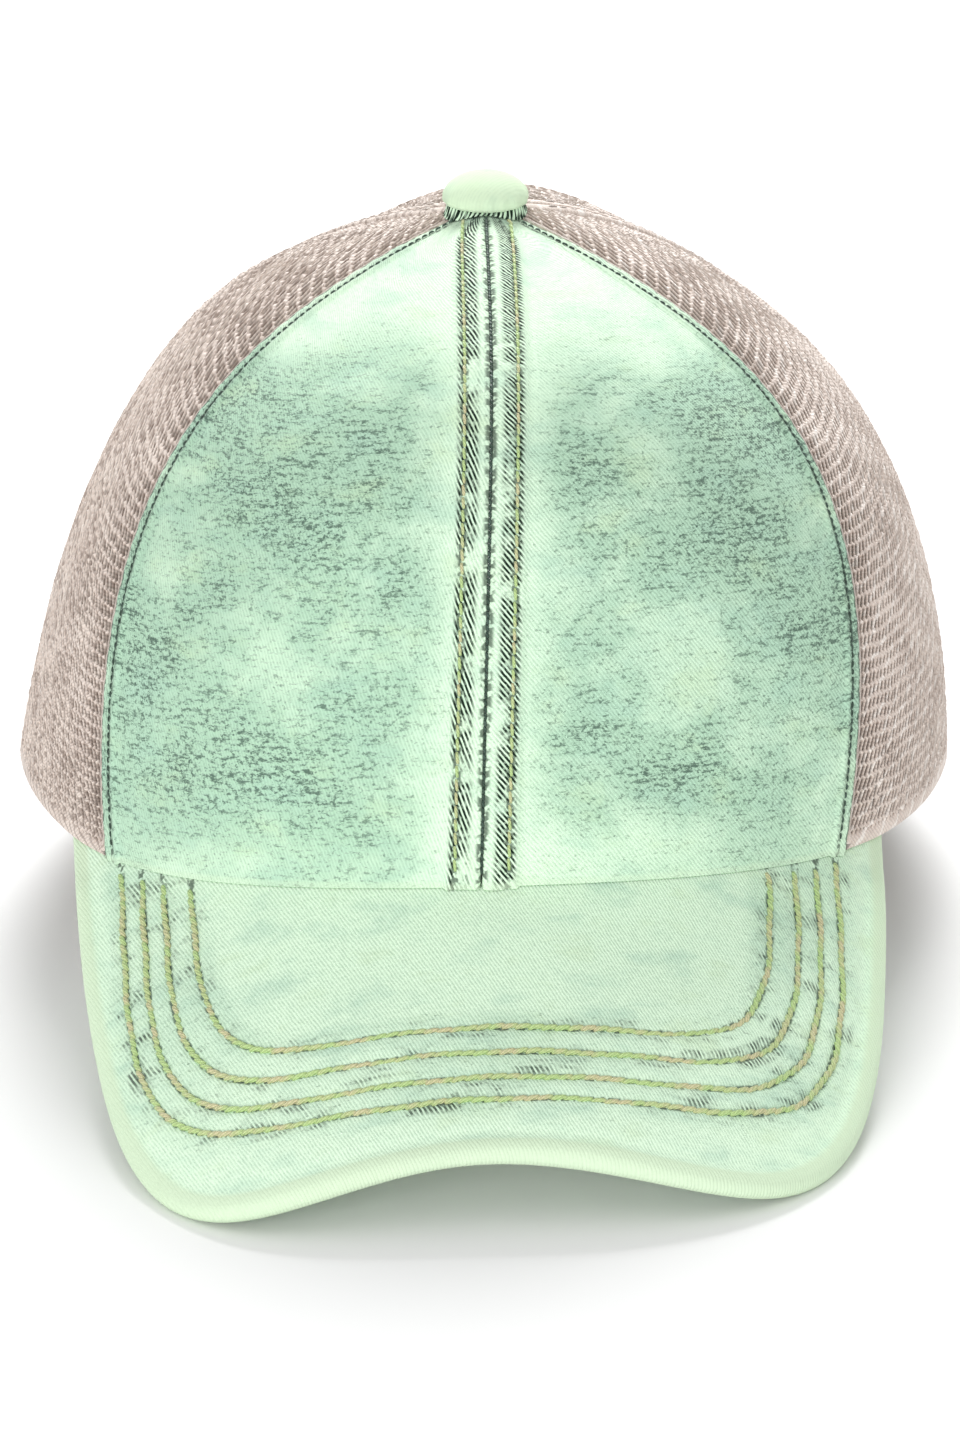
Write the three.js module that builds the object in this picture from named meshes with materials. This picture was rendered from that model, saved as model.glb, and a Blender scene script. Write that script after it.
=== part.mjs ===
// A ponytail baseball cap: two washed denim front panels, four net panels, a bent brim, a covered top
// button, a sweatband, and a taped opening at the back with an adjusting strap across its foot.
// Units are millimetres and degrees. The cap is shaped with its crown upright, front toward -Y and +Z up,
// and is then set down on the table, where it rests on the two front corners of the brim and on its back rim.
// An azimuth is 0 at the front and 180 at the back. A climb is 0 at the rim and 1 at the top of the crown.
import * as THREE from "three";

// Driving sizes

const RIM = {
  halfWidth: 86.3,
  frontDepth: 100.5,
  backDepth: 93,
  frontDrop: 3.8, // how far the rim's front centre lies below its back
  sideRise: 7.4, // how far the rim's sides lie above its back
  sideAzimuth: 100,
  flatAzimuth: 146, // from here to the back the rim lies flat on the table
};

const CROWN = {
  height: 109.2,
  topForward: 9.6, // the button sits this far in front of the rim's centre
  lean: 2.1, // the middle of the crown leans this far toward +X
};

// One row for each azimuth where the crown's rise is set. The rise leaves the rim tilted outward by footTilt
// and reaches the top with the slope topFall. footReach is a share of the crown's height and topReach a share
// of its half width: they say how long the rise keeps each of those directions. The two sides of the net stand
// a little differently, as soft cloth does.
const MERIDIANS = [
  { azimuth: -180, footTilt: 11.6, footReach: 0.786, topFall: -7.3, topReach: 0.721 },
  { azimuth: -100, footTilt: -9.2, footReach: 0.935, topFall: 17.4, topReach: 0.461 },
  { azimuth: -58, footTilt: 2.5, footReach: 0.681, topFall: 24.7, topReach: 0.599 },
  { azimuth: 0, footTilt: 1.2, footReach: 0.846, topFall: 17.5, topReach: 0.706 },
  { azimuth: 58, footTilt: 2.5, footReach: 0.681, topFall: 24.7, topReach: 0.599 },
  { azimuth: 100, footTilt: -2.5, footReach: 0.735, topFall: 10.2, topReach: 0.39 },
  { azimuth: 180, footTilt: 11.6, footReach: 0.786, topFall: -7.3, topReach: 0.721 },
];

const BRIM = {
  length: 67, // from the crown to the front edge
  thickness: 3.5,
  bendRadius: 119,
  slope: 33.3, // how steeply it falls toward the front
  turn: 4.1, // turned about the crown's axis
  roll: -3.8, // rolled about its own length
  tipAzimuth: 59.2, // where its two ends meet the rim
  sideFlare: -3.8, // how far the outline swings outward as it leaves the tip
};

// The outline of half a brim is one curve. These are the lengths of its two handles: along the side as a
// share of the brim's length, and along the front edge as a share of its half width.
const BRIM_HANDLES = { side: 1.31, front: 0.52 };

const CLOTH = {
  denim: 1.5,
  net: 1.2,
  band: 1.5,
  strap: 1.6,
  gap: 0.3, // between any two pieces
};

const SEAMS = {
  centreFoot: 1.3, // azimuth of the centre seam at the rim, from where it runs to the top of the crown
  sideFoot: 50.6, // azimuth of the seam between denim and net at the rim
  sideTop: 67.7, // and at the top
  rearFoot: 118,
  rearTop: 122,
  allowanceWidth: 5.8, // the folded cloth on each side of the centre seam
  allowanceRise: 0.7,
  hemWidth: 3.8, // the turned denim edge along the net
  hemRise: 0.5,
  netSeamWidth: 3.4, // the doubled net on each side of the rear seam
  netSeamRise: 0.5,
  shoulder: 0.9, // how far a raised edge takes to come down
};

const OPENING = {
  halfWidth: 30,
  springHeight: 52, // where the straight sides turn into the arch, measured up the back of the crown
  topHeight: 84,
  tapeWidth: 8,
  tapeRise: 0.5, // how far the tape stands proud of the net, inside and outside
};

const BAND = { height: 30, strapHeight: 21, strapOverlap: 14 };

const BUTTON = {
  radius: 7.9,
  dome: 4.3,
  edge: 1,
  stand: 0.6, // the seams under the button hold it this far off the crown
  shankRadius: 2.2,
  discRadius: 7,
  discThickness: 1,
};

// How finely each piece is divided
const STEPS = {
  rise: 16,
  front: 7,
  net: 8,
  tapeLeg: 7,
  tapeArch: 12,
  aboveArch: 8,
  brim: 44,
  button: 28,
  band: 60,
  strap: 20,
};

const MATERIALS = {
  denim: new THREE.MeshStandardMaterial({ color: 0xc9e8ca, roughness: 0.9, metalness: 0 }),
  net: new THREE.MeshStandardMaterial({ color: 0xcfbfb4, roughness: 0.7, metalness: 0 }),
  tape: new THREE.MeshStandardMaterial({ color: 0xc6b3a8, roughness: 0.85, metalness: 0 }),
  band: new THREE.MeshStandardMaterial({ color: 0xd2c3ba, roughness: 0.9, metalness: 0 }),
};

// Small helpers

const radians = THREE.MathUtils.degToRad;
const mix = THREE.MathUtils.lerp;
const clamp = THREE.MathUtils.clamp;
const vector = (x, y, z) => new THREE.Vector3(x, y, z);

// A smooth step from 0 at low to 1 at high.
function ramp(low, high, value) {
  const share = clamp((value - low) / (high - low), 0, 1);
  return share * share * (3 - 2 * share);
}

// The cubic through two values with a set slope at each end.
function cubic(low, high, value, from, to, slopeFrom, slopeTo) {
  const span = high - low;
  const s = (value - low) / span;
  const s2 = s * s;
  const s3 = s2 * s;
  return (
    (2 * s3 - 3 * s2 + 1) * from +
    (s3 - 2 * s2 + s) * span * slopeFrom +
    (3 * s2 - 2 * s3) * to +
    (s3 - s2) * span * slopeTo
  );
}

// The value between low and high where a function that grows passes a target.
function solve(low, high, target, grows) {
  for (let step = 0; step < 44; step++) {
    const middle = (low + high) / 2;
    if (grows(middle) < target) low = middle;
    else high = middle;
  }
  return (low + high) / 2;
}

// The sheet that the brim is bent from: a cylinder whose lines run outward and down from the rim's front

const brimSheet = (() => {
  const slope = radians(BRIM.slope);
  const turn = radians(BRIM.turn);
  const roll = radians(BRIM.roll);
  const out = vector(
    Math.sin(turn) * Math.cos(slope),
    -Math.cos(turn) * Math.cos(slope),
    -Math.sin(slope),
  );
  const levelAcross = vector(Math.cos(turn), Math.sin(turn), 0);
  const levelDown = vector().crossVectors(levelAcross, out);
  const across = levelAcross.clone().multiplyScalar(Math.cos(roll)).addScaledVector(levelDown, Math.sin(roll));
  const down = levelDown.clone().multiplyScalar(Math.cos(roll)).addScaledVector(levelAcross, -Math.sin(roll));
  return { out, across, down, origin: vector(0, -RIM.frontDepth, -RIM.frontDrop) };
})();

// The point of the sheet at a distance across (along the bend) and outward, sunk by a depth below it.
function sheetPoint(across, outward, depth) {
  const angle = across / BRIM.bendRadius;
  const radius = BRIM.bendRadius - depth;
  return brimSheet.origin
    .clone()
    .addScaledVector(brimSheet.across, radius * Math.sin(angle))
    .addScaledVector(brimSheet.down, BRIM.bendRadius - radius * Math.cos(angle))
    .addScaledVector(brimSheet.out, outward);
}

// The height of the sheet over a point of the plan, found by a few steps of Newton's method.
function sheetHeight(x, y) {
  const point = vector(x, y, -RIM.frontDrop);
  for (let step = 0; step < 10; step++) {
    const offset = point.clone().sub(brimSheet.origin);
    const across = clamp(offset.dot(brimSheet.across), -0.99 * BRIM.bendRadius, 0.99 * BRIM.bendRadius);
    const level = Math.sqrt(BRIM.bendRadius ** 2 - across ** 2);
    const miss = offset.dot(brimSheet.down) - (BRIM.bendRadius - level);
    point.z -= miss / (brimSheet.down.z - (across / level) * brimSheet.across.z);
  }
  return point.z;
}

// Where a point lies on the unrolled sheet: across and outward.
function unroll(point) {
  const offset = point.clone().sub(brimSheet.origin);
  const across = BRIM.bendRadius * Math.asin(clamp(offset.dot(brimSheet.across) / BRIM.bendRadius, -1, 1));
  return { across, outward: offset.dot(brimSheet.out) };
}

// The rim in plan, moved inward by an inset

function rimPlan(azimuth, inset = 0) {
  const u = radians(azimuth);
  const depth = Math.cos(u) > 0 ? RIM.frontDepth : RIM.backDepth;
  const normal = new THREE.Vector2(Math.sin(u) / RIM.halfWidth, -Math.cos(u) / depth).normalize();
  return new THREE.Vector2(RIM.halfWidth * Math.sin(u), -depth * Math.cos(u)).addScaledVector(normal, -inset);
}

// Half of the brim's outline on the unrolled sheet: 0 at the tip and 1 at the front centre.
function outline(side, share) {
  const foot = rimPlan(side * BRIM.tipAzimuth);
  const tip = unroll(vector(foot.x, foot.y, sheetHeight(foot.x, foot.y)));
  const length = BRIM.length;
  const reach = Math.abs(tip.across);
  const curve = new THREE.CubicBezierCurve(
    new THREE.Vector2(reach, tip.outward),
    new THREE.Vector2(reach + BRIM.sideFlare, tip.outward + BRIM_HANDLES.side * (length - tip.outward)),
    new THREE.Vector2(BRIM_HANDLES.front * reach, length),
    new THREE.Vector2(0, length),
  );
  const point = curve.getPoint(share);
  return { across: side * point.x, outward: point.y };
}

// The table under the finished cap: the plane through the rim's back and the lowest point of each brim corner

const table = (() => {
  const back = vector(0, RIM.backDepth, 0);
  const edges = [-1, 1].map((side) =>
    Array.from({ length: 61 }, (_, k) => {
      const edge = outline(side, k / 60);
      return sheetPoint(edge.across, edge.outward, BRIM.thickness * 0.8);
    }),
  );
  const normal = vector(0, 0, 1);
  for (let step = 0; step < 6; step++) {
    const [left, right] = edges.map((points) =>
      points.reduce((lowest, point) => (point.dot(normal) < lowest.dot(normal) ? point : lowest)),
    );
    normal.crossVectors(right.clone().sub(left), back.clone().sub(left)).normalize();
  }
  return { back, normal };
})();

function tableHeight(x, y) {
  const { back, normal } = table;
  return back.z - (normal.x * (x - back.x) + normal.y * (y - back.y)) / normal.z;
}

// An azimuth brought to between -180 and 180.
function wrapped(azimuth) {
  return azimuth - 360 * Math.round(azimuth / 360);
}

// The height of the rim: on the brim's sheet in front, rising to the sides, and flat on the table behind.
function rimHeight(azimuth) {
  const size = Math.abs(wrapped(azimuth));
  const side = Math.sign(wrapped(azimuth)) || 1;
  const onSheet = (angle) => {
    const at = rimPlan(side * angle);
    return sheetHeight(at.x, at.y);
  };
  if (size <= BRIM.tipAzimuth) return onSheet(size);
  if (size <= RIM.sideAzimuth) {
    const tip = onSheet(BRIM.tipAzimuth);
    const slope = tip - onSheet(BRIM.tipAzimuth - 1);
    return cubic(BRIM.tipAzimuth, RIM.sideAzimuth, size, tip, RIM.sideRise, slope, 0);
  }
  const at = rimPlan(azimuth);
  return mix(RIM.sideRise, tableHeight(at.x, at.y), ramp(RIM.sideAzimuth, RIM.flatAzimuth, size));
}

// The crown's outer surface

// The four values of the meridian table at any azimuth.
function meridian(azimuth) {
  const at = wrapped(azimuth);
  const slopeAt = (k, key) => {
    if (k === 0 || k === MERIDIANS.length - 1) return 0;
    const [before, after] = [MERIDIANS[k - 1], MERIDIANS[k + 1]];
    return (after[key] - before[key]) / (after.azimuth - before.azimuth);
  };
  let k = 0;
  while (k < MERIDIANS.length - 2 && at > MERIDIANS[k + 1].azimuth) k++;
  const [low, high] = [MERIDIANS[k], MERIDIANS[k + 1]];
  const value = (key) =>
    cubic(low.azimuth, high.azimuth, at, low[key], high[key], slopeAt(k, key), slopeAt(k + 1, key));
  return {
    footTilt: radians(value("footTilt")),
    footReach: value("footReach") * CROWN.height,
    topFall: radians(value("topFall")),
    topReach: value("topReach") * RIM.halfWidth,
  };
}

function crownPoint(azimuth, climb) {
  const foot = rimPlan(azimuth);
  const footHeight = rimHeight(azimuth);
  const { footTilt, footReach, topFall, topReach } = meridian(azimuth);
  const away = new THREE.Vector2(foot.x, foot.y + CROWN.topForward);
  const radius = away.length();
  const rise = new THREE.CubicBezierCurve(
    new THREE.Vector2(radius, footHeight),
    new THREE.Vector2(radius + footReach * Math.sin(footTilt), footHeight + footReach * Math.cos(footTilt)),
    new THREE.Vector2(topReach * Math.cos(topFall), CROWN.height - topReach * Math.sin(topFall)),
    new THREE.Vector2(0, CROWN.height),
  ).getPoint(climb);
  away.setLength(Math.max(rise.x, 0));
  return vector(away.x + CROWN.lean * Math.sin(Math.PI * climb), away.y - CROWN.topForward, rise.y);
}

function crownNormal(azimuth, climb) {
  const low = Math.max(climb - 0.004, 0);
  const high = Math.min(climb + 0.004, 0.999);
  const along = crownPoint(azimuth + 0.2, climb).sub(crownPoint(azimuth - 0.2, climb));
  const up = crownPoint(azimuth, high).sub(crownPoint(azimuth, low));
  return along.cross(up).normalize();
}

// A point above the crown's outer surface, or below it where rise is negative.
function offCrown(azimuth, climb, rise) {
  return crownPoint(azimuth, climb).addScaledVector(crownNormal(azimuth, climb), rise);
}

// Degrees of azimuth for one millimetre along the surface.
function degreesPerMm(azimuth, climb) {
  return 1 / crownPoint(azimuth + 0.5, climb).distanceTo(crownPoint(azimuth - 0.5, climb));
}

// The climb where the surface is a set distance from the crown's axis, near the top.
function climbAtRadius(azimuth, radius) {
  return solve(0.5, 1, -radius, (climb) => {
    const point = crownPoint(azimuth, climb);
    return -Math.hypot(point.x, point.y + CROWN.topForward);
  });
}

// The climb where the surface is a set height above the rim.
function climbAtHeight(azimuth, height) {
  const foot = rimHeight(azimuth);
  return solve(0, 0.6, height, (climb) => crownPoint(azimuth, climb).z - foot);
}

// Brings a point of a lower edge down, or up, onto what carries it: the brim's sheet, the sewn line or the table.
function seatOnRim(point, azimuth, clearance) {
  const size = Math.abs(azimuth);
  const outer = rimPlan(azimuth);
  const inward = 1 - ramp(BRIM.tipAzimuth + 4, BRIM.tipAzimuth + 14, size);
  const onTable = ramp(RIM.sideAzimuth, RIM.flatAzimuth, size);
  const sheetRise = sheetHeight(point.x, point.y) - sheetHeight(outer.x, outer.y);
  const tableRise = tableHeight(point.x, point.y) - tableHeight(outer.x, outer.y);
  point.z = rimHeight(azimuth) + inward * (sheetRise + clearance) + onTable * tableRise;
  return point;
}

// Builders of closed solids

// A closed wall between two grids of points, face outside and back inside, columns across and rows upward.
// Mirrored pieces turn their triangles round.
function wall(columns, rows, face, back, mirrored = false) {
  const positions = [];
  for (const layer of [face, back])
    for (let j = 0; j <= rows; j++) for (let i = 0; i <= columns; i++) positions.push(...layer(i, j).toArray());
  const size = (columns + 1) * (rows + 1);
  const at = (layer, i, j) => layer * size + j * (columns + 1) + i;
  const triangles = [];
  const quad = (a, b, c, d) => triangles.push([a, b, c], [a, c, d]);
  for (let j = 0; j < rows; j++)
    for (let i = 0; i < columns; i++) {
      quad(at(0, i, j), at(0, i + 1, j), at(0, i + 1, j + 1), at(0, i, j + 1));
      quad(at(1, i, j), at(1, i, j + 1), at(1, i + 1, j + 1), at(1, i + 1, j));
    }
  for (let i = 0; i < columns; i++) {
    quad(at(0, i, 0), at(1, i, 0), at(1, i + 1, 0), at(0, i + 1, 0));
    quad(at(0, i, rows), at(0, i + 1, rows), at(1, i + 1, rows), at(1, i, rows));
  }
  for (let j = 0; j < rows; j++) {
    quad(at(0, 0, j), at(0, 0, j + 1), at(1, 0, j + 1), at(1, 0, j));
    quad(at(0, columns, j), at(1, columns, j), at(1, columns, j + 1), at(0, columns, j + 1));
  }
  return solid(positions, triangles, mirrored);
}

// A closed solid through rings of points, capped at both ends.
function loft(rings) {
  const count = rings[0].length;
  const positions = [];
  for (const ring of rings) for (const point of ring) positions.push(...point.toArray());
  const triangles = [];
  for (let k = 0; k + 1 < rings.length; k++)
    for (let i = 0; i < count; i++) {
      const next = (i + 1) % count;
      const [a, b, c, d] = [k * count + i, k * count + next, (k + 1) * count + next, (k + 1) * count + i];
      triangles.push([a, b, c], [a, c, d]);
    }
  const cap = (ring, start, turned) => {
    const centre = ring.reduce((sum, point) => sum.add(point), vector(0, 0, 0)).divideScalar(count);
    const middle = positions.length / 3;
    positions.push(...centre.toArray());
    for (let i = 0; i < count; i++) {
      const next = start + ((i + 1) % count);
      triangles.push(turned ? [next, start + i, middle] : [start + i, next, middle]);
    }
  };
  cap(rings[0], 0, true);
  cap(rings[rings.length - 1], (rings.length - 1) * count, false);
  return solid(positions, triangles);
}

function solid(positions, triangles, mirrored = false) {
  const geometry = new THREE.BufferGeometry();
  geometry.setAttribute("position", new THREE.Float32BufferAttribute(positions, 3));
  geometry.setIndex(triangles.flatMap(([a, b, c]) => (mirrored ? [a, c, b] : [a, b, c])));
  geometry.computeVertexNormals();
  return geometry;
}

// The crown's panels

const cap = new THREE.Group();

function add(name, geometry, material) {
  const mesh = new THREE.Mesh(geometry, material);
  mesh.name = name;
  cap.add(mesh);
}

const holeRadius = BUTTON.shankRadius + CLOTH.gap + CLOTH.denim * 0.5;
const centreSeam = (climb) => mix(SEAMS.centreFoot, 0, climb);
const sideSeam = (climb) => mix(SEAMS.sideFoot, SEAMS.sideTop, climb);
const rearSeam = (climb) => mix(SEAMS.rearFoot, SEAMS.rearTop, climb);

// The columns of a panel between two seams. Each raised edge has a flat top and a shoulder, and the rest is
// divided evenly. A column holds its distance from the near edge, or from the far one, or a share between.
function panelColumns(near, far, between) {
  const raised = (edge, from) =>
    edge.width
      ? [
          { from, distance: 0, rise: edge.rise },
          { from, distance: edge.width, rise: edge.rise },
          { from, distance: edge.width + SEAMS.shoulder, rise: 0 },
        ]
      : [{ from, distance: 0, rise: 0 }];
  const middle = Array.from({ length: between - 1 }, (_, k) => ({ share: (k + 1) / between, rise: 0 }));
  return [...raised(near, "near"), ...middle, ...raised(far, "far").reverse()];
}

// The azimuths of a panel's columns at one climb. Near the top, where the panel is narrow, raised edges shrink.
function columnAzimuths(columns, climb, low, high) {
  const span = high - low;
  const most = (from) => Math.max(...columns.filter((c) => c.from === from).map((c) => c.distance), 0);
  const scale = { near: degreesPerMm(low, climb), far: degreesPerMm(high, climb) };
  for (const from of ["near", "far"]) {
    const reach = most(from) * scale[from];
    if (reach > 0.4 * span) scale[from] *= (0.4 * span) / reach;
  }
  const nearEnd = low + most("near") * scale.near;
  const farEnd = high - most("far") * scale.far;
  return columns.map((c) => {
    if (c.from === "near") return low + c.distance * scale.near;
    if (c.from === "far") return high - c.distance * scale.far;
    return mix(nearEnd, farEnd, c.share);
  });
}

// One panel between two seams, on the +X side or mirrored to the other.
function panel(side, lowSeam, highSeam, columns, thickness) {
  const halfGap = CLOTH.gap / 2;
  const place = (i, j, depth) => {
    const share = j / STEPS.rise;
    const low = lowSeam(share) + halfGap * degreesPerMm(side * lowSeam(share), Math.min(share, 0.97));
    const high = highSeam(share) - halfGap * degreesPerMm(side * highSeam(share), Math.min(share, 0.97));
    const climbGuess = share * climbAtRadius(side * lowSeam(share), holeRadius);
    const azimuth = side * columnAzimuths(columns, climbGuess, low, high)[i];
    const climb = share * climbAtRadius(azimuth, holeRadius);
    const rise = columns[i].rise * (1 - ramp(0.86, 0.97, share));
    const point = offCrown(azimuth, climb, rise - depth);
    return j === 0 ? seatOnRim(point, azimuth, CLOTH.gap) : point;
  };
  return wall(
    columns.length - 1,
    STEPS.rise,
    (i, j) => place(i, j, 0),
    (i, j) => place(i, j, thickness + columns[i].rise * 0.5),
    side < 0,
  );
}

const centreEdge = { width: SEAMS.allowanceWidth, rise: SEAMS.allowanceRise };
const hemEdge = { width: SEAMS.hemWidth, rise: SEAMS.hemRise };
const netEdge = { width: 0, rise: 0 };
const rearEdge = { width: SEAMS.netSeamWidth, rise: SEAMS.netSeamRise };

for (const [side, name] of [[-1, "left"], [1, "right"]]) {
  const frontColumns = panelColumns(centreEdge, hemEdge, STEPS.front);
  const sideColumns = panelColumns(netEdge, rearEdge, STEPS.net);
  const middleSeam = (climb) => side * centreSeam(climb);
  add(`front_panel_${name}`, panel(side, middleSeam, sideSeam, frontColumns, CLOTH.denim), MATERIALS.denim);
  add(`side_mesh_${name}`, panel(side, sideSeam, rearSeam, sideColumns, CLOTH.net), MATERIALS.net);
}

// The back panels and the ponytail opening

// The climb at a distance up the back of the crown.
const backRise = (() => {
  const steps = 400;
  const lengths = [0];
  for (let k = 1; k <= steps; k++)
    lengths.push(lengths[k - 1] + crownPoint(180, k / steps).distanceTo(crownPoint(180, (k - 1) / steps)));
  return (distance) => {
    const k = clamp(lengths.findIndex((length) => length > distance) - 1, 0, steps - 1);
    return (k + (distance - lengths[k]) / (lengths[k + 1] - lengths[k])) / steps;
  };
})();

// The azimuth where the back of the crown is a set width from the centre plane at one climb.
function azimuthAtWidth(side, width, climb) {
  const centre = crownPoint(180, climb).x;
  return side * solve(95, 180, -width, (size) => -Math.abs(crownPoint(side * size, climb).x - centre));
}

// A point of the opening's edge, moved outward by an offset: legs upward first, then the arch to its top.
function openingEdge(side, offset, leg, arch) {
  const half = OPENING.halfWidth + offset;
  const angle = (arch * Math.PI) / 2;
  const top = OPENING.topHeight + offset;
  const distance = arch > 0 ? mix(OPENING.springHeight, top, Math.sin(angle)) : OPENING.springHeight * leg;
  const climb = backRise(distance);
  const width = half * Math.cos(angle);
  const azimuth = width < 0.05 ? side * 180 : azimuthAtWidth(side, width, climb);
  return { azimuth, climb };
}

function backPanel(side) {
  const offset = OPENING.tapeWidth + CLOTH.gap;
  const topGap = CLOTH.gap / 2;
  const edge = [];
  for (let k = 0; k < STEPS.tapeLeg; k++) edge.push(openingEdge(side, offset, k / STEPS.tapeLeg, 0));
  for (let k = 0; k < STEPS.tapeArch; k++) edge.push(openingEdge(side, offset, 1, k / STEPS.tapeArch));
  const archTop = backRise(OPENING.topHeight + offset);
  const archRow = edge.length;
  for (let k = 0; k <= STEPS.aboveArch; k++) {
    const climb = mix(archTop, climbAtRadius(180, holeRadius), k / STEPS.aboveArch);
    edge.push({ azimuth: side * 180, climb });
  }
  const rows = edge.length - 1;
  const columns = panelColumns(rearEdge, netEdge, STEPS.net);
  // Where the edge is the centre seam, it keeps half a gap from the middle.
  const limit = (climb) => 180 - topGap * degreesPerMm(180, Math.min(climb, 0.97));
  const place = (i, j, depth) => {
    const share = j / rows;
    const high = Math.min(Math.abs(edge[j].azimuth), limit(edge[j].climb));
    const low = rearSeam(share) + (CLOTH.gap / 2) * degreesPerMm(side * rearSeam(share), Math.min(share, 0.97));
    const azimuth = side * columnAzimuths(columns, edge[j].climb, low, high)[i];
    const across = (Math.abs(azimuth) - low) / (high - low);
    const level = share * climbAtRadius(azimuth, holeRadius);
    const climb = mix(level, edge[j].climb, across * (1 - ramp(archRow / rows, 1, share)));
    const rise = columns[i].rise * (1 - ramp(0.86, 0.97, share));
    const point = offCrown(azimuth, climb, rise - depth);
    return j === 0 ? seatOnRim(point, azimuth, CLOTH.gap) : point;
  };
  return wall(
    columns.length - 1,
    rows,
    (i, j) => place(i, j, 0),
    (i, j) => place(i, j, CLOTH.net + columns[i].rise * 0.5),
    side < 0,
  );
}

add("back_mesh_left", backPanel(-1), MATERIALS.net);
add("back_mesh_right", backPanel(1), MATERIALS.net);

// The tape round the opening: its section is a flat band with turned edges, in shares of its width and its rise
const TAPE_SECTION = [
  { across: 0, rise: 0.2 },
  { across: 0.12, rise: 1 },
  { across: 0.88, rise: 1 },
  { across: 1, rise: 0.2 },
  { across: 1, rise: -0.2 },
  { across: 0.88, rise: -1 },
  { across: 0.12, rise: -1 },
  { across: 0, rise: -0.2 },
];

function openingTape() {
  const stations = [];
  for (let k = 0; k < STEPS.tapeLeg; k++) stations.push({ side: -1, leg: k / STEPS.tapeLeg, arch: 0 });
  for (let k = 0; k < STEPS.tapeArch; k++) stations.push({ side: -1, leg: 1, arch: k / STEPS.tapeArch });
  const other = stations.map((station) => ({ ...station, side: 1 })).reverse();
  stations.push({ side: 1, leg: 1, arch: 1 }, ...other);
  const rings = stations.map(({ side, leg, arch }) =>
    TAPE_SECTION.map(({ across, rise }) => {
      const { azimuth, climb } = openingEdge(side, across * OPENING.tapeWidth, leg, arch);
      const height = rise > 0 ? rise * OPENING.tapeRise : rise * OPENING.tapeRise - CLOTH.net;
      const point = offCrown(azimuth, climb, height);
      return leg === 0 ? seatOnRim(point, azimuth, CLOTH.gap) : point;
    }),
  );
  return loft(rings);
}

add("opening_binding", openingTape(), MATERIALS.tape);

// Bands inside the rim

// A band against the inside of the crown between two azimuths, its outer face at a depth below the surface.
function innerBand(from, to, steps, depth, thickness, height) {
  const place = (i, j, sink) => {
    const azimuth = mix(from, to, i / steps);
    const climb = climbAtHeight(azimuth, height) * (j / 3);
    const point = offCrown(azimuth, climb, -sink);
    return j === 0 ? seatOnRim(point, azimuth, CLOTH.gap) : point;
  };
  return wall(
    steps,
    3,
    (i, j) => place(i, j, depth),
    (i, j) => place(i, j, depth + thickness),
  );
}

const bandDepth = CLOTH.denim + SEAMS.allowanceRise * 0.5 + CLOTH.gap;
const strapDepth = CLOTH.net + OPENING.tapeRise + CLOTH.gap;
const strapEnd = azimuthAtWidth(1, OPENING.halfWidth + BAND.strapOverlap, 0.05);
const bandEnd = strapEnd - CLOTH.gap * degreesPerMm(strapEnd, 0.05) * 2;
add(
  "sweatband",
  innerBand(-bandEnd, bandEnd, STEPS.band, bandDepth, CLOTH.band, BAND.height),
  MATERIALS.band,
);
add(
  "back_strap",
  innerBand(strapEnd, 360 - strapEnd, STEPS.strap, strapDepth, CLOTH.strap, BAND.strapHeight),
  MATERIALS.tape,
);

// The brim

// How far the brim reaches in under the crown: past the denim and the sweatband.
const brimInset = bandDepth + CLOTH.band + 0.4;

// The rolled outer edge: distances in from it and the half thickness there, both as shares of half the thickness.
const ROLLED_EDGE = [0, 0.1, 0.4, 1].map((inward) => ({ inward, half: Math.sqrt(1 - (1 - inward) ** 2) }));

function brimSolid() {
  const inner = (azimuth) => {
    const at = rimPlan(azimuth, brimInset);
    return unroll(vector(at.x, at.y, sheetHeight(at.x, at.y)));
  };
  const half = BRIM.thickness / 2;
  const plain = [0, 0.12, 0.3, 0.5, 0.7, 0.86];
  const rings = [];
  for (let k = 0; k <= STEPS.brim; k++) {
    const across = (2 * k) / STEPS.brim - 1;
    const side = across < 0 ? -1 : 1;
    const from = inner(across * BRIM.tipAzimuth);
    const to = outline(side, 1 - Math.abs(across));
    const length = Math.hypot(to.across - from.across, to.outward - from.outward);
    const rollStart = 1 - half / length;
    const stops = [
      ...plain.map((share) => ({ share: share * rollStart, half: 1 })),
      ...[...ROLLED_EDGE].reverse().map((row) => ({ share: 1 - (row.inward * half) / length, half: row.half })),
    ];
    const point = (stop, turn) =>
      sheetPoint(
        mix(from.across, to.across, stop.share),
        mix(from.outward, to.outward, stop.share),
        half - turn * half * stop.half,
      );
    const top = stops.map((stop) => point(stop, 1));
    const bottom = stops.slice(0, -1).reverse().map((stop) => point(stop, -1));
    rings.push([...top, ...bottom]);
  }
  return loft(rings);
}

add("brim", brimSolid(), MATERIALS.denim);

// The top button: an inner disc under the cloth, a shank through it, and a covered dome seated on the crown

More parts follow.
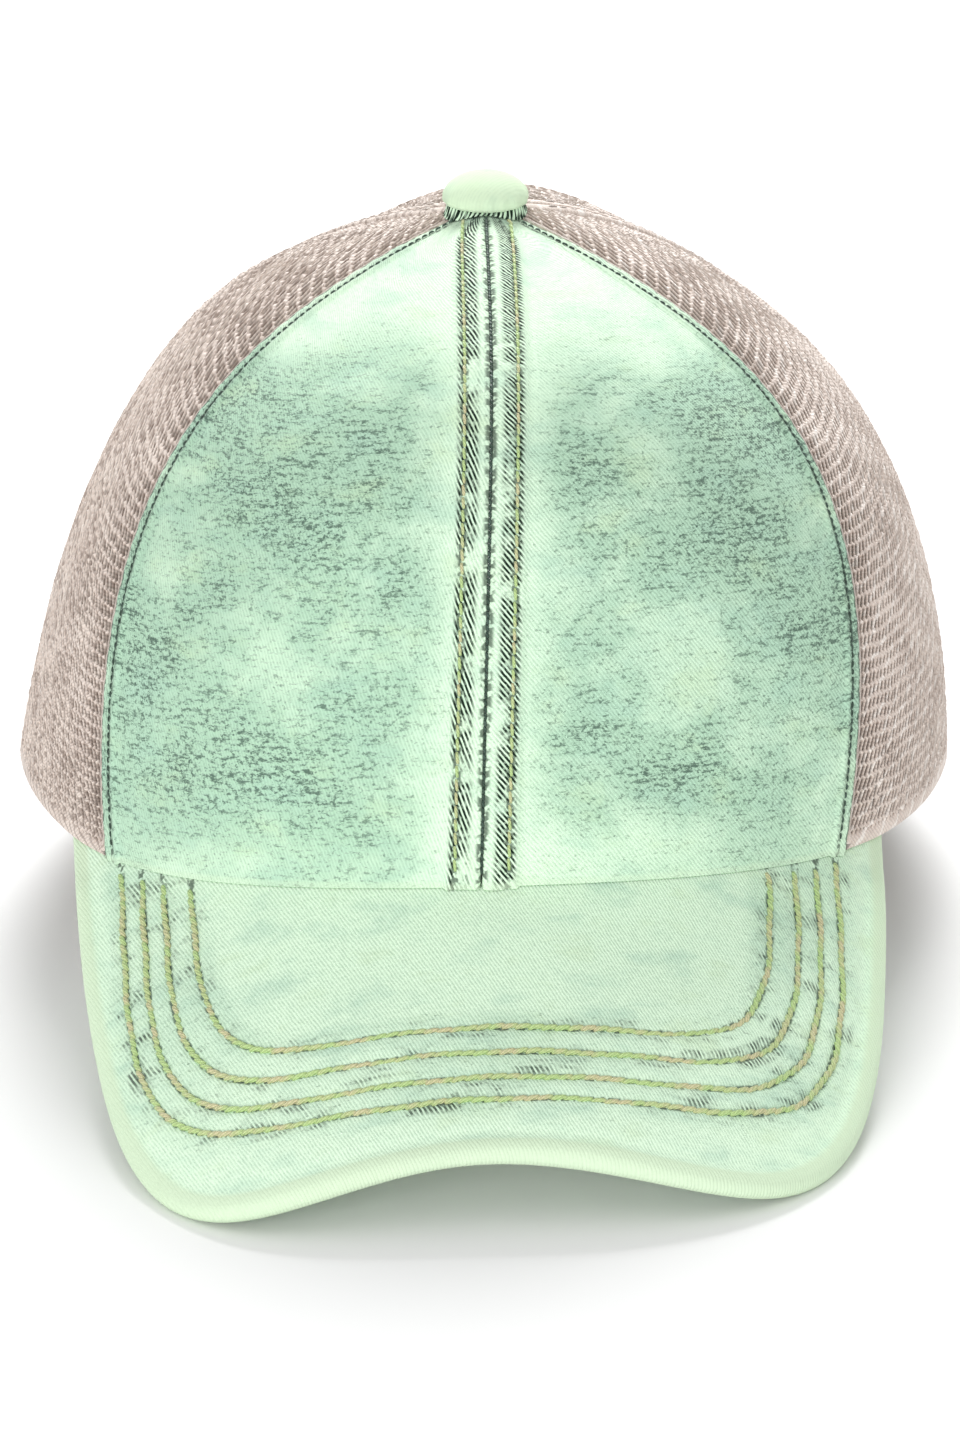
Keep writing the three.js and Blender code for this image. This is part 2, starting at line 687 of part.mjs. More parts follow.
function topButton() {
  const surface = (azimuth, radius) => crownPoint(azimuth, climbAtRadius(azimuth, Math.max(radius, 0.5)));
  const around = Array.from({ length: STEPS.button }, (_, k) => (360 * k) / STEPS.button - 180);
  const tilt = (surface(180, BUTTON.radius).z - surface(0, BUTTON.radius).z) / (2 * BUTTON.radius);
  const slope = (point) => tilt * (point.y + CROWN.topForward);
  // the dome's seat is the lowest plane of that tilt that clears the crown all over its underside
  const heights = [0.3, 0.6, 1].flatMap((share) =>
    around.map((azimuth) => {
      const point = surface(azimuth, BUTTON.radius * share);
      return point.z - slope(point);
    }),
  );
  const seat = Math.max(...heights) + BUTTON.stand;
  const under = (CLOTH.denim + CLOTH.gap) * 1.25;
  const rows = [
    { radius: BUTTON.discRadius * 0.5, lift: -under - BUTTON.discThickness, seated: false },
    { radius: BUTTON.discRadius, lift: -under - BUTTON.discThickness, seated: false },
    { radius: BUTTON.discRadius, lift: -under, seated: false },
    { radius: BUTTON.shankRadius, lift: -under, seated: false },
    { radius: BUTTON.shankRadius, lift: 0, seated: true },
    { radius: BUTTON.radius * 0.6, lift: 0, seated: true },
    { radius: BUTTON.radius * 0.93, lift: 0, seated: true },
    { radius: BUTTON.radius, lift: BUTTON.edge * 0.5, seated: true },
  ];
  for (const share of [0.97, 0.86, 0.68, 0.45, 0.2]) {
    const lift = BUTTON.edge * 0.6 + BUTTON.dome * Math.sqrt(1 - share ** 2);
    rows.push({ radius: BUTTON.radius * share, lift, seated: true });
  }
  const rings = rows.map(({ radius, lift, seated }) =>
    around.map((azimuth) => {
      const point = surface(azimuth, radius);
      point.z = lift + (seated ? seat + slope(point) : point.z);
      return point;
    }),
  );
  return loft(rings);
}

add("top_button", topButton(), MATERIALS.denim);

// Sets the cap down: the table's plane turns level, and the box's lowest centre becomes the origin
cap.quaternion.setFromUnitVectors(table.normal, vector(0, 0, 1));
const part = new THREE.Group();
part.add(cap);
part.updateMatrixWorld(true);
const box = new THREE.Box3().setFromObject(part, true);
cap.position.set(-(box.min.x + box.max.x) / 2, -(box.min.y + box.max.y) / 2, -box.min.z);

export default part;
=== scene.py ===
"""A ponytail baseball cap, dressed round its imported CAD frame.

The shapes are worked out in millimetres and degrees in the cap's own frame, with the crown upright and the
front toward -Y, and are then set down on the table as the CAD model is. An azimuth is 0 at the front and 180
at the back. A climb is 0 at the rim and 1 at the top of the crown.
"""

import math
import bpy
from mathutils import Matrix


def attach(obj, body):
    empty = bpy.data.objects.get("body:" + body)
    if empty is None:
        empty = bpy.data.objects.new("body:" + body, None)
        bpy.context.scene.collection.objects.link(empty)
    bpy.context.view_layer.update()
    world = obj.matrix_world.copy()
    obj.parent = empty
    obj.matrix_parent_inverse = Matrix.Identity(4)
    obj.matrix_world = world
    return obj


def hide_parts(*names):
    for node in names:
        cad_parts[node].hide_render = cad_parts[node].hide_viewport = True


bl_info = {
    "name": "Ponytail cap",
    "version": (1, 0, 0),
    "blender": (4, 5, 0),
    "location": "3D View > Sidebar > Cap",
    "description": "Washed denim and net cap with its stitching, materials and studio",
    "category": "Object",
}

import bpy
import numpy as np
from mathutils import Matrix, Quaternion, Vector

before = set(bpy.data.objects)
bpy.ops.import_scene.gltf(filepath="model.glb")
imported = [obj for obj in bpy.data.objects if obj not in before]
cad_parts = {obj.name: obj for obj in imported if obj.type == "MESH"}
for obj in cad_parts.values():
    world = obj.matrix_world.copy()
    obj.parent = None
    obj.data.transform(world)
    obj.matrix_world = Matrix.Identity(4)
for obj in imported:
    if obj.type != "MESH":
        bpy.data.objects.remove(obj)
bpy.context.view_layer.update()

# Driving sizes, the same as the CAD model's

RIM = {
    "half_width": 86.3,
    "front_depth": 100.5,
    "back_depth": 93.0,
    "front_drop": 3.8,
    "side_rise": 7.4,
    "side_azimuth": 100.0,
    "flat_azimuth": 146.0,
}
CROWN = {"height": 109.2, "top_forward": 9.6, "lean": 2.1}
# azimuth, foot tilt, foot reach, top fall, top reach
MERIDIANS = np.array(
    [
        (-180, 11.6, 0.786, -7.3, 0.721),
        (-100, -9.2, 0.935, 17.4, 0.461),
        (-58, 2.5, 0.681, 24.7, 0.599),
        (0, 1.2, 0.846, 17.5, 0.706),
        (58, 2.5, 0.681, 24.7, 0.599),
        (100, -2.5, 0.735, 10.2, 0.39),
        (180, 11.6, 0.786, -7.3, 0.721),
    ]
)
BRIM = {
    "length": 67.0,
    "thickness": 3.5,
    "bend_radius": 119.0,
    "slope": 33.3,
    "turn": 4.1,
    "roll": -3.8,
    "tip_azimuth": 59.2,
    "side_flare": -3.8,
    "side_handle": 1.31,
    "front_handle": 0.52,
}
CLOTH = {"denim": 1.5, "net": 1.2, "band": 1.5, "strap": 1.6, "gap": 0.3}
SEAMS = {
    "centre_foot": 1.3,
    "side_foot": 50.6,
    "side_top": 67.7,
    "rear_foot": 118.0,
    "rear_top": 122.0,
    "allowance_width": 5.8,
    "allowance_rise": 0.7,
    "hem_width": 3.8,
    "hem_rise": 0.5,
    "net_seam_width": 3.4,
    "net_seam_rise": 0.5,
    "shoulder": 0.9,
}
OPENING = {"half_width": 30.0, "spring": 52.0, "top": 84.0, "tape_width": 8.0, "tape_rise": 0.5}
BAND = {"height": 30.0, "strap_height": 21.0, "strap_overlap": 14.0}
BUTTON = {
    "radius": 7.9,
    "dome": 4.3,
    "edge": 1.0,
    "stand": 0.6,
    "shank": 2.2,
    "disc": 7.0,
    "disc_thickness": 1.0,
}

# Where the cap's own frame stands on the table
TURN = np.array(Quaternion((0.9940104, -0.1081696, 0.0155773, 0.0)).to_matrix())
PLACE = np.array([-0.198, 33.874, 19.999])

# The four stitched rows of the brim, outermost first: half width, length and squareness of a rounded
# arch on the unrolled sheet
BRIM_ROWS = ((67.9, 113.3, 5.3), (63.5, 107.9, 5.5), (59.0, 101.6, 5.7), (53.5, 95.4, 5.8))
ROW_CENTRE = (2.0, -60.0)


# Plain mathematics


def ramp(low, high, value):
    """A smooth step from 0 at low to 1 at high."""
    share = np.clip((np.asarray(value, float) - low) / (high - low), 0, 1)
    return share * share * (3 - 2 * share)


def mix(low, high, share):
    return low + (high - low) * share


def cubic(low, high, value, start, end, slope_start, slope_end):
    """The cubic through two values with a set slope at each end."""
    span = high - low
    s = (value - low) / span
    s2, s3 = s * s, s * s * s
    return (
        (2 * s3 - 3 * s2 + 1) * start
        + (s3 - 2 * s2 + s) * span * slope_start
        + (3 * s2 - 2 * s3) * end
        + (s3 - s2) * span * slope_end
    )


def unit(vectors):
    return vectors / np.maximum(np.linalg.norm(vectors, axis=-1, keepdims=True), 1e-9)


def bump(distance, width):
    """A soft bump, 1 at 0, that has died away beyond twice its width."""
    return np.exp(-((distance / width) ** 2))


def running_length(points):
    """The length along a line of points, from its start."""
    steps = np.linalg.norm(np.diff(points, axis=0), axis=-1)
    return np.concatenate([np.zeros((1,) + steps.shape[1:]), np.cumsum(steps, axis=0)])


# The sheet that the brim is bent from


def sheet_axes():
    slope, turn, roll = (math.radians(BRIM[key]) for key in ("slope", "turn", "roll"))
    out = np.array([math.sin(turn) * math.cos(slope), -math.cos(turn) * math.cos(slope), -math.sin(slope)])
    level_across = np.array([math.cos(turn), math.sin(turn), 0])
    level_down = np.cross(level_across, out)
    across = level_across * math.cos(roll) + level_down * math.sin(roll)
    down = level_down * math.cos(roll) - level_across * math.sin(roll)
    return out, across, down


SHEET_OUT, SHEET_ACROSS, SHEET_DOWN = sheet_axes()
SHEET_ORIGIN = np.array([0, -RIM["front_depth"], -RIM["front_drop"]])


def sheet_point(across, outward, depth):
    """The point of the sheet at a distance across and outward, sunk by a depth below it."""
    bend = BRIM["bend_radius"]
    angle = np.asarray(across, float) / bend
    radius = bend - np.asarray(depth, float)
    return (
        SHEET_ORIGIN
        + (radius * np.sin(angle))[..., None] * SHEET_ACROSS
        + (bend - radius * np.cos(angle))[..., None] * SHEET_DOWN
        + (np.asarray(outward, float) + 0 * angle)[..., None] * SHEET_OUT
    )


def sheet_height(x, y):
    """The height of the sheet over a point of the plan."""
    bend = BRIM["bend_radius"]
    x, y = np.broadcast_arrays(np.asarray(x, float), np.asarray(y, float))
    z = np.full(x.shape, -RIM["front_drop"])
    for _ in range(10):
        offset = np.stack([x, y, z], -1) - SHEET_ORIGIN
        across = np.clip(offset @ SHEET_ACROSS, -0.99 * bend, 0.99 * bend)
        level = np.sqrt(bend**2 - across**2)
        miss = offset @ SHEET_DOWN - (bend - level)
        z = z - miss / (SHEET_DOWN[2] - across / level * SHEET_ACROSS[2])
    return z


def unroll(points):
    """Where points lie on the unrolled sheet: across and outward."""
    bend = BRIM["bend_radius"]
    offset = points - SHEET_ORIGIN
    return bend * np.arcsin(np.clip(offset @ SHEET_ACROSS / bend, -1, 1)), offset @ SHEET_OUT


def rim_plan(azimuth, inset=0.0):
    """The rim in plan, moved inward by an inset, as x and y."""
    u = np.radians(azimuth)
    depth = np.where(np.cos(u) > 0, RIM["front_depth"], RIM["back_depth"])
    width = RIM["half_width"]
    normal = unit(np.stack([np.sin(u) / width, -np.cos(u) / depth], -1))
    return width * np.sin(u) - inset * normal[..., 0], -depth * np.cos(u) - inset * normal[..., 1]


def outline(side, share):
    """Half of the brim's outline on the unrolled sheet: 0 at the tip and 1 at the front centre."""
    x, y = rim_plan(side * BRIM["tip_azimuth"])
    tip_across, tip_out = unroll(np.array([x, y, sheet_height(x, y)]))
    length, reach = BRIM["length"], abs(tip_across)
    handles = np.array(
        [
            (reach, tip_out),
            (reach + BRIM["side_flare"], tip_out + BRIM["side_handle"] * (length - tip_out)),
            (BRIM["front_handle"] * reach, length),
            (0, length),
        ]
    )
    t = np.asarray(share, float)[..., None]
    point = (
        (1 - t) ** 3 * handles[0]
        + 3 * (1 - t) ** 2 * t * handles[1]
        + 3 * (1 - t) * t**2 * handles[2]
        + t**3 * handles[3]
    )
    return side * point[..., 0], point[..., 1]


def table_plane():
    """The normal of the table: a plane through the rim's back and the lowest point of each brim corner."""
    back = np.array([0, RIM["back_depth"], 0])
    edges = [sheet_point(*outline(side, np.linspace(0, 1, 61)), BRIM["thickness"] * 0.8) for side in (-1, 1)]
    normal = np.array([0.0, 0.0, 1.0])
    for _ in range(6):
        left, right = (edge[np.argmin(edge @ normal)] for edge in edges)
        normal = unit(np.cross(right - left, back - left))
    return normal


TABLE_NORMAL = table_plane()


def table_height(x, y):
    return -(TABLE_NORMAL[0] * x + TABLE_NORMAL[1] * (y - RIM["back_depth"])) / TABLE_NORMAL[2]


# The crown's outer surface, from tables over the azimuth

AZIMUTHS = np.arange(-180, 180.01, 0.25)


def rim_heights():
    """The height of the rim: on the brim's sheet in front, rising to the sides, flat on the table behind."""
    size, side = np.abs(AZIMUTHS), np.where(AZIMUTHS < 0, -1, 1)
    tip, low = BRIM["tip_azimuth"], RIM["side_azimuth"]
    on_sheet = sheet_height(*rim_plan(side * np.minimum(size, tip)))
    before = sheet_height(*rim_plan(side * (tip - 1)))
    rising = cubic(tip, low, np.clip(size, tip, low), on_sheet, RIM["side_rise"], on_sheet - before, 0)
    behind = mix(RIM["side_rise"], table_height(*rim_plan(AZIMUTHS)), ramp(low, RIM["flat_azimuth"], size))
    return np.where(size <= tip, on_sheet, np.where(size <= low, rising, behind))


def meridian_values(column):
    """One column of the meridian table at every azimuth, as a smooth curve through its rows."""
    angles, values = MERIDIANS[:, 0], MERIDIANS[:, column]
    slopes = np.zeros(len(values))
    slopes[1:-1] = (values[2:] - values[:-2]) / (angles[2:] - angles[:-2])
    k = np.clip(np.searchsorted(angles, AZIMUTHS, side="left") - 1, 0, len(angles) - 2)
    return cubic(angles[k], angles[k + 1], AZIMUTHS, values[k], values[k + 1], slopes[k], slopes[k + 1])


RIM_HEIGHT = rim_heights()
FOOT_TILT = np.radians(meridian_values(1))
FOOT_REACH = meridian_values(2) * CROWN["height"]
TOP_FALL = np.radians(meridian_values(3))
TOP_REACH = meridian_values(4) * RIM["half_width"]


def wrap(azimuth):
    return (np.asarray(azimuth, float) + 180) % 360 - 180


def rim_height(azimuth):
    return np.interp(wrap(azimuth), AZIMUTHS, RIM_HEIGHT)


def crown_point(azimuth, climb):
    azimuth, t = np.broadcast_arrays(wrap(azimuth), np.asarray(climb, float))
    x, y = rim_plan(azimuth)
    y = y + CROWN["top_forward"]
    radius = np.hypot(x, y)
    tables = (RIM_HEIGHT, FOOT_TILT, FOOT_REACH, TOP_FALL, TOP_REACH)
    foot, tilt, foot_reach, fall, top_reach = (np.interp(azimuth, AZIMUTHS, values) for values in tables)
    rows = (
        (radius, foot),
        (radius + foot_reach * np.sin(tilt), foot + foot_reach * np.cos(tilt)),
        (top_reach * np.cos(fall), CROWN["height"] - top_reach * np.sin(fall)),
        (0 * radius, CROWN["height"] + 0 * radius),
    )
    weights = ((1 - t) ** 3, 3 * (1 - t) ** 2 * t, 3 * (1 - t) * t**2, t**3)
    reach = np.maximum(sum(w * row[0] for w, row in zip(weights, rows)), 0)
    height = sum(w * row[1] for w, row in zip(weights, rows))
    return np.stack(
        [
            x / radius * reach + CROWN["lean"] * np.sin(np.pi * t),
            y / radius * reach - CROWN["top_forward"],
            height,
        ],
        -1,
    )


def crown_normal(azimuth, climb):
    climb = np.asarray(climb, float)
    low, high = np.maximum(climb - 0.004, 0), np.minimum(climb + 0.004, 0.999)
    along = crown_point(np.asarray(azimuth) + 0.2, climb) - crown_point(np.asarray(azimuth) - 0.2, climb)
    return unit(np.cross(along, crown_point(azimuth, high) - crown_point(azimuth, low)))


def off_crown(azimuth, climb, rise):
    """Points above the crown's outer surface, or below it where rise is negative."""
    rise = np.asarray(rise, float)
    return crown_point(azimuth, climb) + crown_normal(azimuth, climb) * rise[..., None]


def mm_per_degree(azimuth, climb):
    azimuth = np.asarray(azimuth, float)
    return np.linalg.norm(crown_point(azimuth + 0.5, climb) - crown_point(azimuth - 0.5, climb), axis=-1)


def climb_at(azimuth, low, high, target, measure):
    """The climb where a measure that grows along each rise passes a target."""
    low = np.full(np.shape(azimuth), float(low))
    high = np.full(np.shape(azimuth), float(high))
    for _ in range(36):
        middle = (low + high) / 2
        grows = measure(crown_point(azimuth, middle)) < target
        low, high = np.where(grows, middle, low), np.where(grows, high, middle)
    return (low + high) / 2


def climb_at_radius(azimuth, radius):
    """The climb where the crown comes within a radius of its top."""

    def nearness(points):
        return -np.hypot(points[..., 0], points[..., 1] + CROWN["top_forward"])

    return climb_at(azimuth, 0.5, 1, -np.asarray(radius, float), nearness)


def climb_at_height(azimuth, height):
    """The climb where the crown is a height above its rim."""
    foot = rim_height(azimuth)
    return climb_at(azimuth, 0, 0.6, height, lambda points: points[..., 2] - foot)


HOLE_RADIUS = BUTTON["shank"] + CLOTH["gap"] + CLOTH["denim"] * 0.5
TOP_AZIMUTHS = np.arange(-180, 181, 3.0)
TOP_CLIMBS = climb_at_radius(TOP_AZIMUTHS, HOLE_RADIUS)


def top_climb(azimuth):
    return np.interp(wrap(azimuth), TOP_AZIMUTHS, TOP_CLIMBS)


# How far up a piece the fit of its foot to the brim or the table is felt
SETTLE_REACH = 12.0


def settle(points, azimuth, rise, height):
    """Brings the lowest rows of a piece down, or up, onto what carries the rim, dying away upward."""
    near = height < SETTLE_REACH
    if not near.any():
        return points
    azimuth, rise = np.broadcast_arrays(azimuth, rise)
    angle = azimuth[near]
    foot = off_crown(angle, np.zeros(angle.shape), rise[near])
    plan = rim_plan(angle)
    size = np.abs(wrap(angle))
    inward = 1 - ramp(BRIM["tip_azimuth"] + 4, BRIM["tip_azimuth"] + 14, size)
    on_table = ramp(RIM["side_azimuth"], RIM["flat_azimuth"], size)
    sheet_rise = sheet_height(foot[:, 0], foot[:, 1]) - sheet_height(*plan)
    table_rise = table_height(foot[:, 0], foot[:, 1]) - table_height(*plan)
    seated = rim_height(angle) + inward * (sheet_rise + CLOTH["gap"]) + on_table * table_rise
    points = points.copy()
    points[near, 2] += (seated - foot[:, 2]) * (1 - height[near] / SETTLE_REACH) ** 2
    return points


# Collecting pieces of mesh

# The seam distance of a place with no stitched row near it
FAR_FROM_SEAM = 99.0
# The sharpest bend, in degrees, that is still shaded smooth
CREASE = 48


class Patch:
    """Points with their places on the cloth in millimetres, the faces between them, and the faces' finish.

    place is across and along the cloth. seam is the distance to the nearest stitched row and the length along
    it. On the brim its second part is the distance from the edge, and on the net its first is the depth in a
    hole."""

    def __init__(self, points, faces, place, seam=None, finish=0):
        self.points = np.asarray(points, float).reshape(-1, 3)
        self.faces = faces
        self.place = np.asarray(place, float).reshape(-1, 2)
        if seam is None:
            seam = np.full((len(self.points), 2), FAR_FROM_SEAM)
        self.seam = np.asarray(seam, float).reshape(-1, 2)
        self.finish = finish


def wall_faces(rows, columns, flip=False):
    """Quads of a closed wall between two grids of points, the face grid first and then the back grid."""
    index = np.arange(rows * columns).reshape(rows, columns)
    back = index + rows * columns
    quads = [
        np.stack([index[:-1, :-1], index[:-1, 1:], index[1:, 1:], index[1:, :-1]], -1).reshape(-1, 4),
        np.stack([back[:-1, :-1], back[1:, :-1], back[1:, 1:], back[:-1, 1:]], -1).reshape(-1, 4),
        np.stack([index[0, :-1], back[0, :-1], back[0, 1:], index[0, 1:]], -1),
        np.stack([index[-1, :-1], index[-1, 1:], back[-1, 1:], back[-1, :-1]], -1),
        np.stack([index[:-1, 0], index[1:, 0], back[1:, 0], back[:-1, 0]], -1),
        np.stack([index[:-1, -1], back[:-1, -1], back[1:, -1], index[1:, -1]], -1),
    ]
    quads = np.concatenate(quads)
    return quads[:, ::-1] if flip else quads


def ring_faces(rings, count, closed=False, flip=False):
    """Quads of a tube through rings of points. A closed tube joins its last ring to its first."""
    index = np.arange(rings * count).reshape(rings, count)
    following = np.roll(index, -1, axis=0) if closed else index[1:]
    index = index if closed else index[:-1]
    a, b = index, np.roll(index, -1, axis=1)
    c, d = np.roll(following, -1, axis=1), following
    quads = np.stack([a, b, c, d], -1).reshape(-1, 4)
    return quads[:, ::-1] if flip else quads


def shared_frame(points):
    """Points of the cap's own frame, in metres in the shared frame."""
    return (points @ TURN.T + PLACE) / 1000


def make_object(name, patches, materials):
    """One mesh object from patches, with its two maps of places on the cloth."""
    points = shared_frame(np.concatenate([patch.points for patch in patches]))
    starts = np.cumsum([0] + [len(patch.points) for patch in patches])
    faces, finishes = [], []
    for patch, start in zip(patches, starts):
        for group in patch.faces if isinstance(patch.faces, list) else [patch.faces]:
            faces.append(group + start)
            finishes.append(np.full(len(group), patch.finish))
    loops = np.concatenate([group.ravel() for group in faces]).astype(np.int32)
    sides = np.concatenate([np.full(len(group), group.shape[1]) for group in faces])
    mesh = bpy.data.meshes.new(name)
    mesh.vertices.add(len(points))
    mesh.vertices.foreach_set("co", points.astype(np.float32).ravel())
    mesh.loops.add(len(loops))
    mesh.loops.foreach_set("vertex_index", loops)
    mesh.polygons.add(len(sides))
    mesh.polygons.foreach_set("loop_start", (np.cumsum(sides) - sides).astype(np.int32))
    mesh.polygons.foreach_set("material_index", np.concatenate(finishes).astype(np.int32))
    mesh.update(calc_edges=True)
    mesh.polygons.foreach_set("use_smooth", np.ones(len(sides), bool))
    for layer, values in (("cloth", [p.place for p in patches]), ("seam", [p.seam for p in patches])):
        uv = mesh.uv_layers.new(name=layer)
        uv.data.foreach_set("uv", np.concatenate(values)[loops].astype(np.float32).ravel())
    mesh.set_sharp_from_angle(angle=math.radians(CREASE))
    for material in materials:
        mesh.materials.append(material)
    obj = bpy.data.objects.new(name, mesh)
    bpy.context.scene.collection.objects.link(obj)
    return obj


def present(obj, slot, *nodes):
    """Lets a finished piece ride on the cap and stand for its CAD nodes, which it hides. Its slot is not
    used.
    """
    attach(obj, "root")
    if nodes:
        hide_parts(*nodes)


# Stitches


# How far from the start of a line its first stitch is, and the sides of a thread
ROW_START = 1.5
THREAD_SIDES = 7


def resample(points, normals, step, offset):
    """Stations at even steps along a line, each with its normal and its length along the line."""
    length = running_length(points)
    stations = np.arange(offset, length[-1], step)
    place = np.stack([np.interp(stations, length, points[:, k]) for k in range(3)], -1)
    normal = unit(np.stack([np.interp(stations, length, normals[:, k]) for k in range(3)], -1))
    return place, normal, stations


def stitch_row(points, normals, pitch, radius, yaw, cover, lift=0.0, sink=1.1, taper=0.45, finish=0):
    """A row of sewn stitches: short bent rods of twisted thread, each askew, so they lie like a rope.

    yaw is how far a stitch is askew, in degrees, and cover is its length as a share of the pitch. lift is in
    millimetres. sink and taper are its ends' depth and thickness, as shares of the thread's radius."""
    place, normal, along = resample(points, normals, pitch / 2, ROW_START)
    count = (len(place) - 1) // 2
    start, middle, end = place[0 : 2 * count : 2], place[1 : 2 * count : 2], place[2 : 2 * count + 1 : 2]
    up = normal[1 : 2 * count : 2]
    forward = end - start
    length = np.linalg.norm(forward, axis=-1, keepdims=True)
    forward = forward / length
    side = unit(np.cross(up, forward))
    cosine, sine = math.cos(math.radians(yaw)), math.sin(math.radians(yaw))
    forward, side = forward * cosine + side * sine, side * cosine - forward * sine
    # share of the length, height and radius, in shares of the thread's radius
    low = mix(-sink, 0.25, 0.63)
    ends = ((0.5, -sink, taper), (0.42, low, (1 + taper) * 0.57), (0.2, 0.25, 1))
    profile = [(-share, height, girth) for share, height, girth in ends]
    profile += [(share, height, girth) for share, height, girth in ends[::-1]]
    sides = THREAD_SIDES
    angles = np.arange(sides) * 2 * np.pi / sides
    rings = []
    for share, height, girth in profile:
        centre = middle + forward * (share * cover) * length + up * (lift + height * radius)
        circle = np.cos(angles)[None, :, None] * side[:, None] + np.sin(angles)[None, :, None] * up[:, None]
        rings.append(centre[:, None] + circle * (girth * radius))
    points = np.stack(rings, 1).reshape(count, -1, 3)
    tube = ring_faces(len(profile), sides)
    caps = [np.arange(sides)[None, ::-1], (np.arange(sides) + (len(profile) - 1) * sides)[None]]
    block = len(profile) * sides
    starts = (np.arange(count) * block)[:, None, None]
    shares = np.repeat([share for share, _, _ in profile], sides)
    around = np.tile(np.arange(sides) / sides, len(profile))
    across = np.broadcast_to(around * 2 * np.pi * radius, (count, block))
    length_along = (along[1 : 2 * count : 2])[:, None] + shares * pitch
    return Patch(
        points.reshape(-1, 3),
        [
            (tube[None] + starts).reshape(-1, 4),
            np.concatenate([(cap[None] + starts).reshape(-1, sides) for cap in caps]),
        ],
        np.stack([across, length_along], -1),
        finish=finish,
    )


def stitches_on_crown(azimuth, climb, rise, **how):
    """Stitches along a line on the crown that is given by azimuths and climbs."""
    points = off_crown(azimuth, climb, rise)
    return stitch_row(points, crown_normal(azimuth, climb), **how)


# Materials


def linear(hex_colour):
    """An sRGB hex colour as linear red, green and blue."""
    parts = [int(hex_colour[k : k + 2], 16) / 255 for k in (1, 3, 5)]
    return tuple(c / 12.92 if c <= 0.04045 else ((c + 0.055) / 1.055) ** 2.4 for c in parts)


def add_node(tree, kind, inputs=None, **settings):
    """Adds a node with its settings. Each input is a value, or the output socket that feeds it."""
    made = tree.nodes.new(kind)
    for key, value in settings.items():
        setattr(made, key, value)
    for key, value in (inputs or {}).items():
        socket = made.inputs[key]
        if isinstance(value, bpy.types.NodeSocket):
            tree.links.new(value, socket)
        else:
            socket.default_value = value
    return made


def new_material(name):
    material = bpy.data.materials.new(name)
    material.use_nodes = True
    tree = material.node_tree
    tree.nodes.clear()
    return material, tree


def finish_material(tree, colour, height, bump_mm, **surface):
    """Ends a material with its shader: a colour, a height in millimetres and constant surface values."""
    relief = {"Strength": 1.0, "Distance": bump_mm / 1000, "Height": height}
    bumped = add_node(tree, "ShaderNodeBump", relief).outputs[0]
    shader = add_node(tree, "ShaderNodeBsdfPrincipled", {"Base Color": colour, "Normal": bumped, **surface})
    add_node(tree, "ShaderNodeOutputMaterial", {"Surface": shader.outputs[0]})


def noise(tree, vector, scale, detail=2.0, roughness=0.5, distortion=0.0):
    """Noise over a place, with a scale of its own for each direction."""
    scaled = add_node(tree, "ShaderNodeMapping", {"Vector": vector, "Scale": scale}).outputs[0]
    settings = {"Scale": 1.0, "Detail": detail, "Roughness": roughness, "Distortion": distortion}
    return add_node(tree, "ShaderNodeTexNoise", {"Vector": scaled, **settings}).outputs[0]


def window(tree, value, low, high, low_out=0.0, high_out=1.0):
    """A smooth step of a value between two bounds."""
    return add_node(
        tree,
        "ShaderNodeMapRange",
        {0: value, 1: low, 2: high, 3: low_out, 4: high_out},
        interpolation_type="SMOOTHSTEP",
    ).outputs[0]


def arithmetic(tree, operation, first, second=0.0, third=0.0):
    return add_node(tree, "ShaderNodeMath", {0: first, 1: second, 2: third}, operation=operation).outputs[0]


def blend_colours(tree, share, first, second, mode="MIX"):
    made = add_node(tree, "ShaderNodeMix", {0: share, 6: first, 7: second}, data_type="RGBA", blend_type=mode)
    return made.outputs[2]


def cloth_place(tree, layer="cloth"):
    """The place on the cloth in millimetres, and its two parts."""
    place = add_node(tree, "ShaderNodeUVMap", uv_map=layer).outputs[0]
    parts = add_node(tree, "ShaderNodeSeparateXYZ", {0: place})
    return place, parts.outputs[0], parts.outputs[1]


def stripes(tree, place, pitch, angle, wobble, strength):
    """Diagonal lines across the cloth, a pitch in millimetres apart, broken by a wobble."""
    lean = math.radians(angle)
    direction = (math.sin(lean), math.cos(lean), 0)
    along = add_node(tree, "ShaderNodeVectorMath", {0: place, 1: direction}, operation="DOT_PRODUCT")
    shaken = arithmetic(tree, "MULTIPLY_ADD", wobble, strength, along.outputs["Value"])
    wave = arithmetic(tree, "SINE", arithmetic(tree, "MULTIPLY", shaken, 2 * math.pi / pitch))
    return arithmetic(tree, "MULTIPLY_ADD", wave, 0.5, 0.5)


# Real twill has lines about 0.4 mm apart. These are drawn wider, so that the render can show them.
TWILL_PITCH = 0.62
UNWORN_PITCH = 0.74
BRIM_UNWORN_PITCH = 0.8
# Where the hem's part of a front panel's seam lengths starts, and the right panel's part
HEM_START = 300
RIGHT_START = 700


